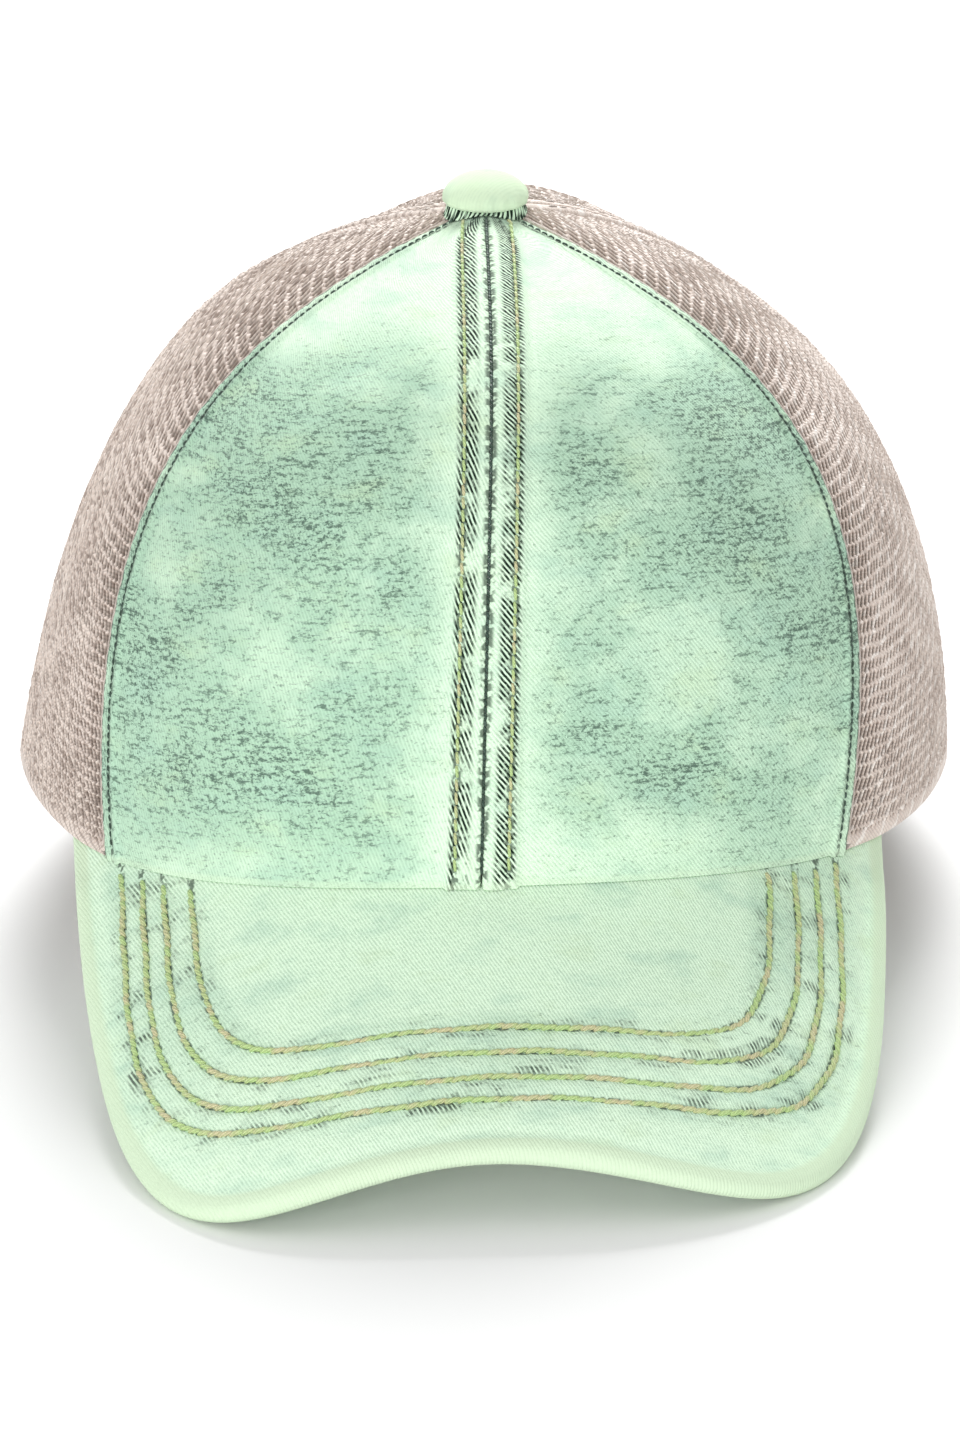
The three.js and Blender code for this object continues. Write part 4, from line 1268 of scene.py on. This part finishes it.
def net_border(ground, edge, inward, stations, thickness, rise, breadth):
    """The doubled cloth round a net panel, a rounded strip along its whole outline."""
    steps = np.array([0, 0.12, 0.4, 1.35, 2.3, 2.6, BORDER_WIDTH])
    bulge = 1 - rounded(np.minimum(steps, BORDER_WIDTH - steps), 0.62) / 0.62
    section = [(step, share, 1) for step, share in zip(steps, bulge)]
    section += [(step, share, -1) for step, share, _ in section[::-1][1:-1]]
    ripple = 0.07 * np.sin(2 * np.pi * stations / 2.6)
    rings = []
    for step, share, face in section:
        flat = edge + inward * (step * breadth)[:, None]
        half = thickness / 2 + 0.08 * breadth
        centre = -thickness / 2
        proud = half + (rise if face > 0 else rise * 0.5)
        height = centre + face * share * proud + ripple * share * (face > 0)
        rings.append((ground.raised(flat, height), flat))
    points = np.stack([ring for ring, _ in rings], 1)
    place = np.stack([np.stack([stations, np.full(len(stations), step)], -1) for step, _, _ in section], 1)
    faces = ring_faces(len(edge), len(section), closed=True, flip=ground.side > 0)
    place = place.reshape(-1, 2)
    return Patch(points.reshape(-1, 3), faces, place, 0 * place)


def side_outline(ground, side):
    """The outline of a side panel on its flat cloth, and where it runs along the rear seam."""
    half = CLOTH["gap"] / 2
    share = np.linspace(0, 1, 90)
    low, high = side_seam(share), rear_seam(share)
    low = low + half * degrees_at(low, side, share)
    high = high - half * degrees_at(high, side, share)
    foot = np.linspace(low[0], high[0], 60)
    top = np.linspace(high[-1], low[-1], 12)
    azimuth = np.concatenate([foot, high[1:-1], top, low[::-1][1:-1]])
    rising, falling = share * top_climb(side * high), (share * top_climb(side * low))[::-1]
    climb = np.concatenate([0 * foot, rising[1:-1], top_climb(side * top), falling[1:-1]])
    rear = np.concatenate([0 * foot, 1 - ramp(0.86, 0.97, share[1:-1]), 0 * top, 0 * low[1:-1]])
    return ground.flat(azimuth, climb), rear


def back_outline(ground, side):
    """The outline of a back panel: its foot, the opening, the centre seam above it, and the rear seam."""
    half, offset = CLOTH["gap"] / 2, OPENING["tape_width"] + CLOTH["gap"]
    share = np.linspace(0, 1, 90)
    low = rear_seam(share) + half * degrees_at(rear_seam(share), side, share)
    leg_azimuth, leg_climb = opening_edge(side, offset, np.linspace(0, 1, 40)[:-1], 0.0)
    arch_azimuth, arch_climb = opening_edge(side, offset, 1.0, np.linspace(0.001, 1, 40))
    above = np.linspace(arch_climb[-1], top_climb(180.0), 30)[1:]
    limit = 180 - half * degrees_at(180.0, 1, above)
    edge_azimuth = np.minimum(np.concatenate([np.abs(leg_azimuth), np.abs(arch_azimuth), limit]), 179.98)
    edge_climb = np.concatenate([leg_climb, arch_climb, above])
    foot = np.linspace(low[0], edge_azimuth[0], 40)[:-1]
    top = np.linspace(edge_azimuth[-1], low[-1], 12)[1:]
    azimuth = np.concatenate([foot, edge_azimuth, top, low[::-1][1:-1]])
    falling = (share * top_climb(side * low))[::-1]
    climb = np.concatenate([0 * foot, edge_climb, top_climb(side * top), falling[1:-1]])
    doubled = (1 - ramp(0.86, 0.97, share))[::-1]
    rear = np.concatenate([0 * foot, 0 * edge_azimuth, 0 * top, doubled[1:-1]])
    return ground.flat(azimuth, climb), rear


class CAP_OT_net_panels(bpy.types.Operator):
    """Makes the four net panels with real holes, their doubled borders and the stitches along their seams"""

    bl_idname = "cap.net_panels"
    bl_label = "Net panels"

    def execute(self, context):
        thread = plain_thread_finish(context)
        pitch, radius = millimetres(context, "stitch_pitch"), millimetres(context, "thread_radius")
        thickness = CLOTH["net"] * 0.86
        share = np.linspace(0.006, 0.93, 260)
        # the right net is painted lit, with pale highlight streaks, and the left shaded, with darker courses:
        # lit and shaded copies of one net
        for side, hand, lit_share in ((-1, "left", 0.15), (1, "right", 0.85)):
            rows = []
            net = net_finish(context, hand, lit_share)
            for kind, seam, middle, shape, flat, area in (
                ("side", side_seam, 84.0, side_outline, (0.119, 0.146), 0.0102),
                ("back", rear_seam, 150.0, back_outline, (0.075, 0.174), 0.0079),
            ):
                ground = Ground(side, seam, middle)
                rough, rear = shape(ground, side)
                edge, inward, stations = even_outline(rough, 1.3)
                closed = np.concatenate([rough, rough[:1]])
                lengths = running_length(closed)
                doubled = np.interp(stations, lengths, np.concatenate([rear, rear[:1]]))
                narrow = (kind == "side") * ramp(3.0, 1.0, edge[:, 0]) * ramp(1.0, 4.0, edge[:, 1])
                cells = net_cells(context, ground, edge, inward, thickness)
                rise = 0.05 + (SEAMS["net_seam_rise"] - 0.05) * doubled
                border = net_border(ground, edge, inward, stations, thickness, rise, 1 - 0.75 * narrow)
                panel = make_object(f"net_{kind}_{hand}", [cells, border], [net])
                present(panel, "net", f"{kind}_mesh_{hand}")
            for offset in (-REAR_ROW, REAR_ROW):
                azimuth = rear_seam(share)
                azimuth = side * (azimuth + offset * degrees_at(azimuth, side, share))
                climb, rise = share * top_climb(azimuth), SEAMS["net_seam_rise"] - 0.02
                how = {"pitch": pitch, "radius": radius * 0.7, "yaw": 4, "cover": 0.86}
                rows.append(stitches_on_crown(azimuth, climb, rise, **how))
            present(make_object(f"net_stitches_{hand}", rows, [thread]), "net")
        return {"FINISHED"}


# The brim


def brim_row_distance(across, outward, row):
    """How far places on the sheet are from a stitched row, positive outside it, and the length along it."""
    width, length, power = row
    x, y = across - ROW_CENTRE[0], outward - ROW_CENTRE[1]
    u, v = np.abs(x) / width, np.maximum(y, 0.01) / length
    reach = (u**power + v**power) ** (1 / power)
    slope_x = reach ** (1 - power) * u ** (power - 1) / width
    slope_y = reach ** (1 - power) * v ** (power - 1) / length
    distance = (reach - 1) / np.hypot(slope_x, slope_y)
    line = brim_row_line(row)
    turns = np.arctan2(line[:, 0] - ROW_CENTRE[0], line[:, 1] - ROW_CENTRE[1])
    return distance, np.interp(np.arctan2(x, y), turns, running_length(line))


def brim_row_line(row):
    """A stitched row on the unrolled sheet, from one side to the other."""
    width, length, power = row
    turn = np.linspace(-1.35, 1.35, 900)
    u, v = np.abs(np.sin(turn)) / width, np.cos(turn) / length
    reach = (u**power + v**power) ** (-1 / power)
    return np.stack([ROW_CENTRE[0] + reach * np.sin(turn), ROW_CENTRE[1] + reach * np.cos(turn)], -1)


def brim_relief(across, outward, edge_distance, pucker):
    """The brim's quilted relief: sunk rows, full channels between them, and slanting puckers."""
    rows = [brim_row_distance(across, outward, row) for row in BRIM_ROWS]
    distances = np.stack([distance for distance, _ in rows])
    nearest = np.abs(distances).argmin(0)
    signed = np.take_along_axis(distances, nearest[None], 0)[0]
    along = np.take_along_axis(np.stack([length for _, length in rows]), nearest[None], 0)[0]
    between = ramp(-1.5, 1.5, distances[3]) * (1 - ramp(-1.5, 1.5, distances[0]))
    slant = np.sin(2 * np.pi * (along + 0.9 * signed) / 4.4 + 1.3 * np.sin(along / 11))
    relief = -1.3 * pucker * bump(signed, 0.8)
    relief = relief + 0.9 * pucker * between * (1 - bump(signed, 1.6))
    relief = relief + 0.55 * pucker * slant * bump(np.abs(signed) - 1.2, 1.1)
    # the rolled edge: a full bead and a shallow valley behind it
    relief = relief + 0.35 * bump(edge_distance - 2.6, 1.7) - 0.25 * bump(edge_distance - 5.6, 1.3)
    relief = relief + 0.16 * np.sin(across / 8.3 + outward / 11) + 0.1 * np.sin(outward / 6.1 - across / 9.7)
    return relief, signed


def band_depth():
    return CLOTH["denim"] + SEAMS["allowance_rise"] * 0.5 + CLOTH["gap"]


def brim_patch(context):
    pucker = millimetres(context, "pucker")
    stations = np.linspace(-1, 1, 281)
    inset = band_depth() + CLOTH["band"] + 0.4
    x, y = rim_plan(stations * BRIM["tip_azimuth"], inset)
    start = np.stack(unroll(np.stack([x, y, sheet_height(x, y)], -1)), -1)
    side = np.where(stations < 0, -1, 1)
    end = np.empty_like(start)
    for sign in (-1, 1):
        end[side == sign] = np.stack(outline(sign, 1 - np.abs(stations[side == sign])), -1)
    length = np.linalg.norm(end - start, axis=-1)
    half = BRIM["thickness"] / 2
    inner = np.linspace(0, 0.42, 14)[:-1]
    outer = np.linspace(0.42, 1, 62)
    share = np.concatenate([inner, outer])[None] * (1 - half / length)[:, None]
    turned = np.array([0.92, 0.78, 0.6, 0.42, 0.25, 0.12, 0.04, 0.0])
    share = np.concatenate([share, 1 - turned[None] * half / length[:, None]], 1)
    place = start[:, None] + (end - start)[:, None] * share[..., None]
    # the true distance from the edge, measured to the outline
    edge_distance = (1 - share) * length[:, None]
    left, right = outline(-1, np.linspace(0, 1, 900)), outline(1, np.linspace(1, 0, 900))
    line = np.concatenate([np.stack(left, -1), np.stack(right, -1)])
    for k in range(share.shape[1]):
        gaps = np.linalg.norm(place[:, k][:, None] - line[None], axis=-1).min(1)
        edge_distance[:, k] = np.minimum(edge_distance[:, k], gaps)
    girth = np.sqrt(1 - np.clip(1 - edge_distance / half, 0, 1) ** 2)
    relief, signed = brim_relief(place[..., 0], place[..., 1], edge_distance, pucker)
    # where the crown sits on the brim there is no relief
    rim_x, rim_y = rim_plan(stations * BRIM["tip_azimuth"], -3.0)
    under = np.stack(unroll(np.stack([rim_x, rim_y, sheet_height(rim_x, rim_y)], -1)), -1)
    reached, covered = np.linalg.norm(place - start[:, None], axis=-1), np.linalg.norm(under - start, axis=-1)
    clear = ramp(0, 5, reached - covered[:, None] - 1)
    relief = relief * clear * np.minimum(girth, 1)
    top = sheet_point(place[..., 0], place[..., 1], half - half * girth - relief)
    bottom = sheet_point(place[..., 0], place[..., 1], half + half * girth + 0.5 * relief)
    flat = np.concatenate([place.reshape(-1, 2)] * 2)
    seam = np.stack([np.abs(signed), edge_distance], -1)
    rows, columns = share.shape
    return Patch(
        np.concatenate([top.reshape(-1, 3), bottom.reshape(-1, 3)]),
        wall_faces(rows, columns),
        flat,
        np.concatenate([seam.reshape(-1, 2)] * 2),
    )


def brim_stitches(context):
    """The stitches of the four rows, on the brim's face and on its underside."""
    pitch, radius = millimetres(context, "brim_pitch"), millimetres(context, "cord_radius")
    patches = []
    for row in BRIM_ROWS:
        line = brim_row_line(row)
        # keep the stretch that shows outside the crown
        points = sheet_point(line[:, 0], line[:, 1], 0.0)
        angle = np.degrees(np.arctan2(points[:, 0] / RIM["half_width"], -points[:, 1] / RIM["front_depth"]))
        rim_x, rim_y = rim_plan(angle, -0.6)
        shown = np.hypot(points[:, 0], points[:, 1]) > np.hypot(rim_x, rim_y)
        line = line[shown & (np.abs(angle) < BRIM["tip_azimuth"] - 1)]
        wave = 0.18 * np.sin(running_length(line) / 2.9 + row[0])
        for depth, face in ((0.0, 1), (BRIM["thickness"], -1)):
            points = sheet_point(line[:, 0] + wave, line[:, 1] + wave, depth)
            normal = -face * sheet_normal(line[:, 0])
            girth = radius if face > 0 else radius * 0.7
            shape = {"yaw": 11, "cover": 1.34, "lift": -0.1, "sink": 0.7, "taper": 0.62}
            patches.append(stitch_row(points, normal, pitch, girth, **shape))
    return patches


def sheet_normal(across):
    """The direction out of the sheet's lower side."""
    angle = across / BRIM["bend_radius"]
    return np.cos(angle)[:, None] * SHEET_DOWN - np.sin(angle)[:, None] * SHEET_ACROSS


class CAP_OT_brim(bpy.types.Operator):
    """Makes the bent brim with its four quilted rows of twisted topstitching"""

    bl_idname = "cap.brim"
    bl_label = "Brim"

    def execute(self, context):
        denim = denim_finish(context, "mineral_washed_denim_brim", "brim", -66)
        brim = make_object("brim_visor", [brim_patch(context)], [denim])
        present(brim, "brim_denim", "brim")
        rows = make_object("brim_stitches", brim_stitches(context), [topstitch_finish(context)])
        present(rows, "brim_denim")
        return {"FINISHED"}


# The top button


def button_surface(azimuth, radius):
    azimuth, radius = np.broadcast_arrays(np.asarray(azimuth, float), np.asarray(radius, float))
    return crown_point(azimuth, climb_at_radius(azimuth, np.maximum(radius, 0.5)))


def button_seat():
    """The plane under the button's dome: a height over any point, the lowest that clears the crown."""
    radius = BUTTON["radius"]
    around = np.arange(-180, 180, 3.75)
    tilt = (button_surface(180, radius)[2] - button_surface(0, radius)[2]) / (2 * radius)

    def slope(points):
        return tilt * (points[..., 1] + CROWN["top_forward"])

    heights = [button_surface(around, radius * share) for share in (0.3, 0.6, 1)]
    level = max((points[:, 2] - slope(points)).max() for points in heights) + BUTTON["stand"]
    return lambda points: level + slope(points)


def button_patches():
    """The covered dome with its shank and inner disc, and the bunched cloth under its edge."""
    count = 112
    angles = np.arange(count) * 360 / count - 180
    turn = np.radians(angles)
    seat = button_seat()
    radius, edge, dome, disc = BUTTON["radius"], BUTTON["edge"], BUTTON["dome"], BUTTON["disc"]
    under = (CLOTH["denim"] + CLOTH["gap"]) * 1.25
    rows = [
        (disc * 0.5, -under - BUTTON["disc_thickness"], False),
        (disc, -under - BUTTON["disc_thickness"], False),
        (disc, -under, False),
        (BUTTON["shank"], -under, False),
        (BUTTON["shank"], 0, True),
        (radius * 0.6, 0, True),
        (radius * 0.93, -0.4, True),
        (radius * 0.98, -0.3, True),
        (radius, 0.05, True),
    ]
    for degrees in (84, 78, 72, 65, 57, 48, 38, 28, 18, 9, 3):
        a = math.radians(degrees)
        rows.append((radius * math.sin(a), edge * 0.6 + dome * math.cos(a) ** 1.06, True))
    rings, places = [], []
    for reach, lift, seated in rows:
        gather = 0.10 * np.sin(turn * 17 + 0.5 * np.sin(turn * 3)) * (reach > 0.85 * radius)
        rounds = np.full(count, reach) + gather
        points = button_surface(angles, rounds)
        points[:, 2] = lift + (seat(points) if seated else points[:, 2])
        rings.append(points)
        shift = 0 if seated and lift > 0 else 40
        places.append(np.stack([reach * np.sin(turn), reach * np.cos(turn) + shift], -1))
    points, places = np.concatenate(rings), np.concatenate(places)
    tip, foot = rings[-1].mean(0), rings[0].mean(0)
    top = len(points)
    points = np.concatenate([points, [tip], [foot]])
    places = np.concatenate([places, [(0, 0)], [(0, 40)]])
    ring = np.arange(count)
    following = np.roll(ring, -1)
    last = (len(rows) - 1) * count
    fans = np.concatenate(
        [
            np.stack([ring + last, following + last, np.full(count, top)], -1),
            np.stack([following, ring, np.full(count, top + 1)], -1),
        ]
    )
    dome_patch = Patch(points, [ring_faces(len(rows), count), fans], places)
    return [dome_patch, gathers_patch(seat)]


def gathers_patch(seat):
    """The panels' cloth bunched under the button: a ring of little pleats from the dome to the crown."""
    count = 300
    angles = np.arange(count) * 360 / count - 180
    turn = np.radians(angles)
    pleat = np.abs(np.sin(turn * 23 + 2.1 * np.sin(turn * 5))) ** 0.7 - 0.5
    front = 0.5 + 0.5 * np.cos(turn)
    radius = BUTTON["radius"]
    # share of the button's radius, share of the way down to the crown, and how much of the pleat shows
    section = (
        (0.60, 0.05, 0),
        (0.80, 0.0, 0.4),
        (0.86, 0.25, 0.8),
        (0.88, 0.55, 1.0),
        (0.90, 0.8, 1.1),
        (0.94, 1.0, 1.0),
        (0.66, 1.0, 0),
    )
    rings, places = [], []
    for share, down, shown in section:
        reach = radius * (share + 0.03 * shown * front) + 0.4 * pleat * shown
        points = button_surface(angles, reach)
        high = np.maximum(seat(points) - 0.04, points[:, 2] + 0.12)
        points[:, 2] = mix(high, points[:, 2] + 0.1 + 0.35 * (pleat + 0.5) * shown, down)
        rings.append(points)
        places.append(np.stack([angles * radius * np.pi / 180, np.full(count, share * radius)], -1))
    points, places = np.stack(rings, 1), np.stack(places, 1)
    seam = np.stack([np.full(points.shape[:2], 1.2), places[..., 0]], -1)
    return Patch(
        points.reshape(-1, 3),
        ring_faces(count, len(section), closed=True),
        places.reshape(-1, 2),
        seam.reshape(-1, 2),
        finish=1,
    )


class CAP_OT_top_button(bpy.types.Operator):
    """Makes the covered button on the crown"""

    bl_idname = "cap.top_button"
    bl_label = "Top button"

    def execute(self, context):
        plain = denim_finish(context, "mineral_washed_denim_button", "button")
        # the gathers' denim is painted dark all over, as painted shade under the button's edge
        bunched = denim_finish(context, "mineral_washed_denim_gathers", "gathers")
        button = make_object("crown_button", button_patches(), [plain, bunched])
        present(button, "button_denim", "top_button")
        return {"FINISHED"}


# The tape round the opening, the strap and the sweatband

# The tape's stitched rows, as shares of its width
TAPE_ROWS = (0.18, 0.82)
# How far the stitched rows are from the strap's edges, and the sweatband's row from its top
STRAP_ROW = 2.2
BAND_ROW = 3.0


def tape_patch():
    """The tape, folded over the opening's edge, with a sunk row near each of its edges."""
    legs, arches = np.linspace(0, 1, 44)[:-1], np.linspace(0.001, 1, 70)
    section = [(0.0, 0.0)]
    steps = np.array([0.02, 0.06, 0.12, 0.2, 0.3, 0.5, 0.7, 0.8, 0.88, 0.94, 0.98])
    rounding = 1 - rounded(np.minimum(steps, 1 - steps), 0.1) / 0.1
    sunk = 0.35 * bump(steps - TAPE_ROWS[0], 0.06) + 0.35 * bump(steps - TAPE_ROWS[1], 0.06)
    section += [(s, r - d) for s, r, d in zip(steps, rounding, sunk)]
    section += [(1.0, 0.0)]
    section += [(s, -r) for s, r in zip(steps[::-1], rounding[::-1])]
    half = (CLOTH["net"] + 2 * OPENING["tape_rise"]) / 2
    columns = []
    for across, share in section:
        offset = across * OPENING["tape_width"]
        halves = []
        for side in (-1, 1):
            azimuth_leg, climb_leg = opening_edge(side, offset, legs, 0.0)
            azimuth_arch, climb_arch = opening_edge(side, offset, 1.0, arches)
            azimuth = np.concatenate([azimuth_leg, azimuth_arch])
            climb = np.concatenate([climb_leg, climb_arch])
            halves.append((azimuth, climb))
        azimuth = np.concatenate([halves[0][0], halves[1][0][::-1][1:]])
        climb = np.concatenate([halves[0][1], halves[1][1][::-1][1:]])
        rise = np.full(azimuth.shape, -CLOTH["net"] / 2 + share * half)
        up = np.interp(climb, BACK_CLIMBS, BACK_LENGTHS)
        points = off_crown(azimuth, climb, rise)
        columns.append(settle(points, azimuth, rise, up))
    points = np.stack(columns, 1)
    along = running_length(points[:, 0])
    widths = [across * OPENING["tape_width"] for across, _ in section]
    place = np.stack([np.stack([along, np.full(len(along), width)], -1) for width in widths], 1)
    stations, count = points.shape[:2]
    caps = [np.arange(count)[None, ::-1], (np.arange(count) + (stations - 1) * count)[None]]
    faces = [ring_faces(stations, count), np.concatenate(caps)]
    return Patch(points.reshape(-1, 3), faces, place.reshape(-1, 2))


def plain_row(context, azimuth, climb, rise, face, pitch=1.0, girth=0.75):
    """A row of small plain stitches along a line, on the outside or the inside of the cap."""
    points, normals = off_crown(azimuth, climb, rise), face * crown_normal(azimuth, climb)
    length = millimetres(context, "stitch_pitch") * pitch
    radius = millimetres(context, "thread_radius") * girth
    return stitch_row(points, normals, length, radius, yaw=5, cover=0.88)


def tape_rows(context):
    """Two rows of stitches round the opening, outside and inside the cap."""
    patches = []
    legs, arches = np.linspace(0.01, 1, 80)[:-1], np.linspace(0.001, 1, 120)
    outside, inside = OPENING["tape_rise"] - 0.12, -CLOTH["net"] - OPENING["tape_rise"] + 0.02
    for share in TAPE_ROWS:
        halves = []
        for side in (-1, 1):
            leg = opening_edge(side, share * OPENING["tape_width"], legs, 0.0)
            arch = opening_edge(side, share * OPENING["tape_width"], 1.0, arches)
            halves.append(np.concatenate([leg, arch], 1))
        azimuth, climb = np.concatenate([halves[0], halves[1][:, ::-1][:, 1:]], 1)
        for rise, face in ((outside, 1), (inside, -1)):
            patches.append(plain_row(context, azimuth, climb, rise, face))
    return patches


def inner_band(start, end, columns, rows, depth, thickness, height, rows_sunk, wave=0.0):
    """A band against the inside of the crown, rounded along its edges, with sunk stitched rows."""
    azimuth = np.linspace(start, end, columns)[None]
    foot, head = [0, 0.006, 0.02, 0.045], [0.955, 0.98, 0.994, 1]
    shares = np.concatenate([foot, np.linspace(0.08, 0.92, rows), head])[:, None]
    top = climb_at_height(azimuth, height)
    climb = top * shares
    azimuth = np.broadcast_to(azimuth, climb.shape)
    up = shares * height
    along = running_length(crown_point(azimuth[0], climb[0]))[None]
    drop = rounded(np.minimum(up, height - up), thickness * EDGE_ROUND)
    across_edge = np.minimum(along, along[:, -1:] - along)
    drop = np.maximum(drop, rounded(across_edge, thickness * EDGE_ROUND))
    sunk = sum(0.16 * bump(up - row, 0.7) for row in rows_sunk) * (1 + 0.3 * np.sin(2 * np.pi * along / 5.2))
    ripple = wave * np.sin(2 * np.pi * along / 13 + np.sin(along / 31)) * np.sin(np.pi * shares)
    layers = []
    for height_off in (-depth - drop, -depth - thickness + drop + sunk - ripple):
        rise = np.broadcast_to(height_off, climb.shape)
        points = off_crown(azimuth, climb, rise)
        layers.append(settle(points, azimuth, rise, np.broadcast_to(up, climb.shape)))
    place = np.stack([np.broadcast_to(along, climb.shape), np.broadcast_to(up, climb.shape)], -1)
    count_rows, count_columns = climb.shape
    return Patch(
        np.concatenate([layer.reshape(-1, 3) for layer in layers]),
        wall_faces(count_rows, count_columns),
        np.concatenate([place.reshape(-1, 2)] * 2),
    )


def strap_start():
    climb = np.array([0.05])
    return float(azimuth_at_width(1, OPENING["half_width"] + BAND["strap_overlap"], climb)[0])


STRAP_DEPTH = CLOTH["net"] + OPENING["tape_rise"] + CLOTH["gap"]


class CAP_OT_back_opening(bpy.types.Operator):
    """Makes the tape round the ponytail opening and the strap across its foot"""

    bl_idname = "cap.back_opening"
    bl_label = "Back opening"

    def execute(self, context):
        tape, thread = tape_finish(context), plain_thread_finish(context)
        binding = make_object("opening_tape", [tape_patch()], [tape])
        present(binding, "tape", "opening_binding")
        present(make_object("opening_stitches", tape_rows(context), [thread]), "tape")
        start = strap_start()
        height = BAND["strap_height"]
        row_heights = (STRAP_ROW, height - STRAP_ROW)
        patch = inner_band(start, 360 - start, 150, 20, STRAP_DEPTH, CLOTH["strap"], height, row_heights)
        strap = make_object("adjusting_strap", [patch], [tape])
        present(strap, "tape", "back_strap")
        azimuth = np.linspace(start, 360 - start, 400)
        rows = []
        for up in row_heights:
            climb = climb_at_height(azimuth, up)
            for rise, face in ((-STRAP_DEPTH + 0.02, 1), (-STRAP_DEPTH - CLOTH["strap"] + 0.1, -1)):
                rows.append(plain_row(context, azimuth, climb, rise, face))
        present(make_object("strap_stitches", rows, [thread]), "tape")
        return {"FINISHED"}


class CAP_OT_sweatband(bpy.types.Operator):
    """Makes the cotton sweatband inside the rim"""

    bl_idname = "cap.sweatband"
    bl_label = "Sweatband"

    def execute(self, context):
        start = strap_start()
        end = start - CLOTH["gap"] * 2 / float(mm_per_degree(start, 0.05))
        height = BAND["height"]
        row_height = height - BAND_ROW
        patch = inner_band(-end, end, 420, 22, band_depth(), CLOTH["band"], height, (row_height,), wave=0.12)
        band = make_object("cotton_sweatband", [patch], [band_finish(context)])
        present(band, "band_cotton", "sweatband")
        azimuth = np.linspace(-end, end, 1500)
        climb = climb_at_height(azimuth, row_height)
        rise = -band_depth() - CLOTH["band"] + 0.12
        row = plain_row(context, azimuth, climb, rise, -1, pitch=1.2, girth=0.7)
        present(make_object("sweatband_stitches", [row], [plain_thread_finish(context)]), "band_cotton")
        return {"FINISHED"}


# The stage

CAMERA = {
    "place": (0.0574494, -1.7256302, 0.7128476),
    "target": (-0.0005119, 0.0339004, 0.0314622),
    "roll": -1.9057,
    "lens": 253.12,
}
FLOOR_REACH = 6.0
SKY_STRENGTH = 0.69
# name, place, width in metres and power in watts
SOFTBOXES = (
    ("front_softbox", (-0.5, -1.9, 0.5), 1.2, 21.0),
    ("top_softbox", (0.1, 1.55, 1.2), 1.0, 42.0),
)
LIGHT_TARGET = (0, 0, 0.06)


class CAP_OT_stage(bpy.types.Operator):
    """Makes the pale floor, the soft studio light and the camera"""

    bl_idname = "cap.stage"
    bl_label = "Stage"

    def execute(self, context):
        scene = context.scene
        material, tree = new_material("matt_white_paper")
        place = add_node(tree, "ShaderNodeTexCoord").outputs["Object"]
        grain = noise(tree, place, (90, 90, 90), 2.0)
        surface = {"Roughness": 0.9, "Specular IOR Level": 0.1}
        finish_material(tree, colour_of(context, "floor"), grain, 0.02, **surface)
        corners = [(x * FLOOR_REACH, y * FLOOR_REACH, 0) for x, y in ((-1, -1), (1, -1), (1, 1), (-1, 1))]
        mesh = bpy.data.meshes.new("floor")
        mesh.from_pydata(corners, [], [(0, 1, 2, 3)])
        floor = bpy.data.objects.new("floor", mesh)
        mesh.materials.append(material)
        scene.collection.objects.link(floor)
        world = bpy.data.worlds.new("studio")
        world.use_nodes = True
        world.node_tree.nodes.clear()
        light = {"Color": (1.0, 1.0, 1.0, 1), "Strength": SKY_STRENGTH}
        sky = add_node(world.node_tree, "ShaderNodeBackground", light)
        add_node(world.node_tree, "ShaderNodeOutputWorld", {"Surface": sky.outputs[0]})
        scene.world = world
        for name, location, size, power in SOFTBOXES:
            lamp = bpy.data.lights.new(name, "AREA")
            lamp.shape, lamp.size, lamp.energy = "DISK", size, power
            holder = bpy.data.objects.new(name, lamp)
            holder.location = location
            aim = Vector(LIGHT_TARGET) - Vector(location)
            holder.rotation_euler = aim.to_track_quat("-Z", "Y").to_euler()
            scene.collection.objects.link(holder)
        lens = bpy.data.cameras.new("camera")
        lens.lens, lens.sensor_width, lens.sensor_fit = CAMERA["lens"], 36.0, "AUTO"
        lens.clip_start, lens.clip_end = 0.1, 30
        camera = bpy.data.objects.new("camera", lens)
        place, target = Vector(CAMERA["place"]), Vector(CAMERA["target"])
        turned = (target - place).to_track_quat("-Z", "Y").to_matrix().to_4x4()
        roll = Matrix.Rotation(math.radians(CAMERA["roll"]), 4, "Z")
        camera.matrix_world = Matrix.Translation(place) @ turned @ roll
        scene.collection.objects.link(camera)
        scene.camera = camera
        scene.view_settings.view_transform = "Standard"
        scene.view_settings.look = "None"
        return {"FINISHED"}


# The add-on's panel and its registration

OPERATORS = (
    CAP_OT_stage,
    CAP_OT_brim,
    CAP_OT_denim_panels,
    CAP_OT_net_panels,
    CAP_OT_top_button,
    CAP_OT_sweatband,
    CAP_OT_back_opening,
)


class CAP_PT_panel(bpy.types.Panel):
    """Lists the cap's sizes, colours and pieces"""

    bl_idname = "CAP_PT_panel"
    bl_label = "Ponytail cap"
    bl_space_type = "VIEW_3D"
    bl_region_type = "UI"
    bl_category = "Cap"

    def draw(self, context):
        for group in (context.scene.cap_sizes, context.scene.cap_colours):
            box = self.layout.box()
            for key in group.__annotations__:
                box.prop(group, key)
        for operator in OPERATORS:
            self.layout.operator(operator.bl_idname)


CLASSES = (CapSizes, CapColours, *OPERATORS, CAP_PT_panel)


def register():
    for cls in CLASSES:
        bpy.utils.register_class(cls)
    bpy.types.Scene.cap_sizes = bpy.props.PointerProperty(type=CapSizes)
    bpy.types.Scene.cap_colours = bpy.props.PointerProperty(type=CapColours)


def unregister():
    del bpy.types.Scene.cap_colours
    del bpy.types.Scene.cap_sizes
    for cls in reversed(CLASSES):
        bpy.utils.unregister_class(cls)


def main():
    register()
    bpy.ops.cap.stage()
    bpy.ops.cap.brim()
    bpy.ops.cap.denim_panels()
    bpy.ops.cap.net_panels()
    bpy.ops.cap.top_button()
    bpy.ops.cap.sweatband()
    bpy.ops.cap.back_opening()


if __name__ == "__main__":
    main()
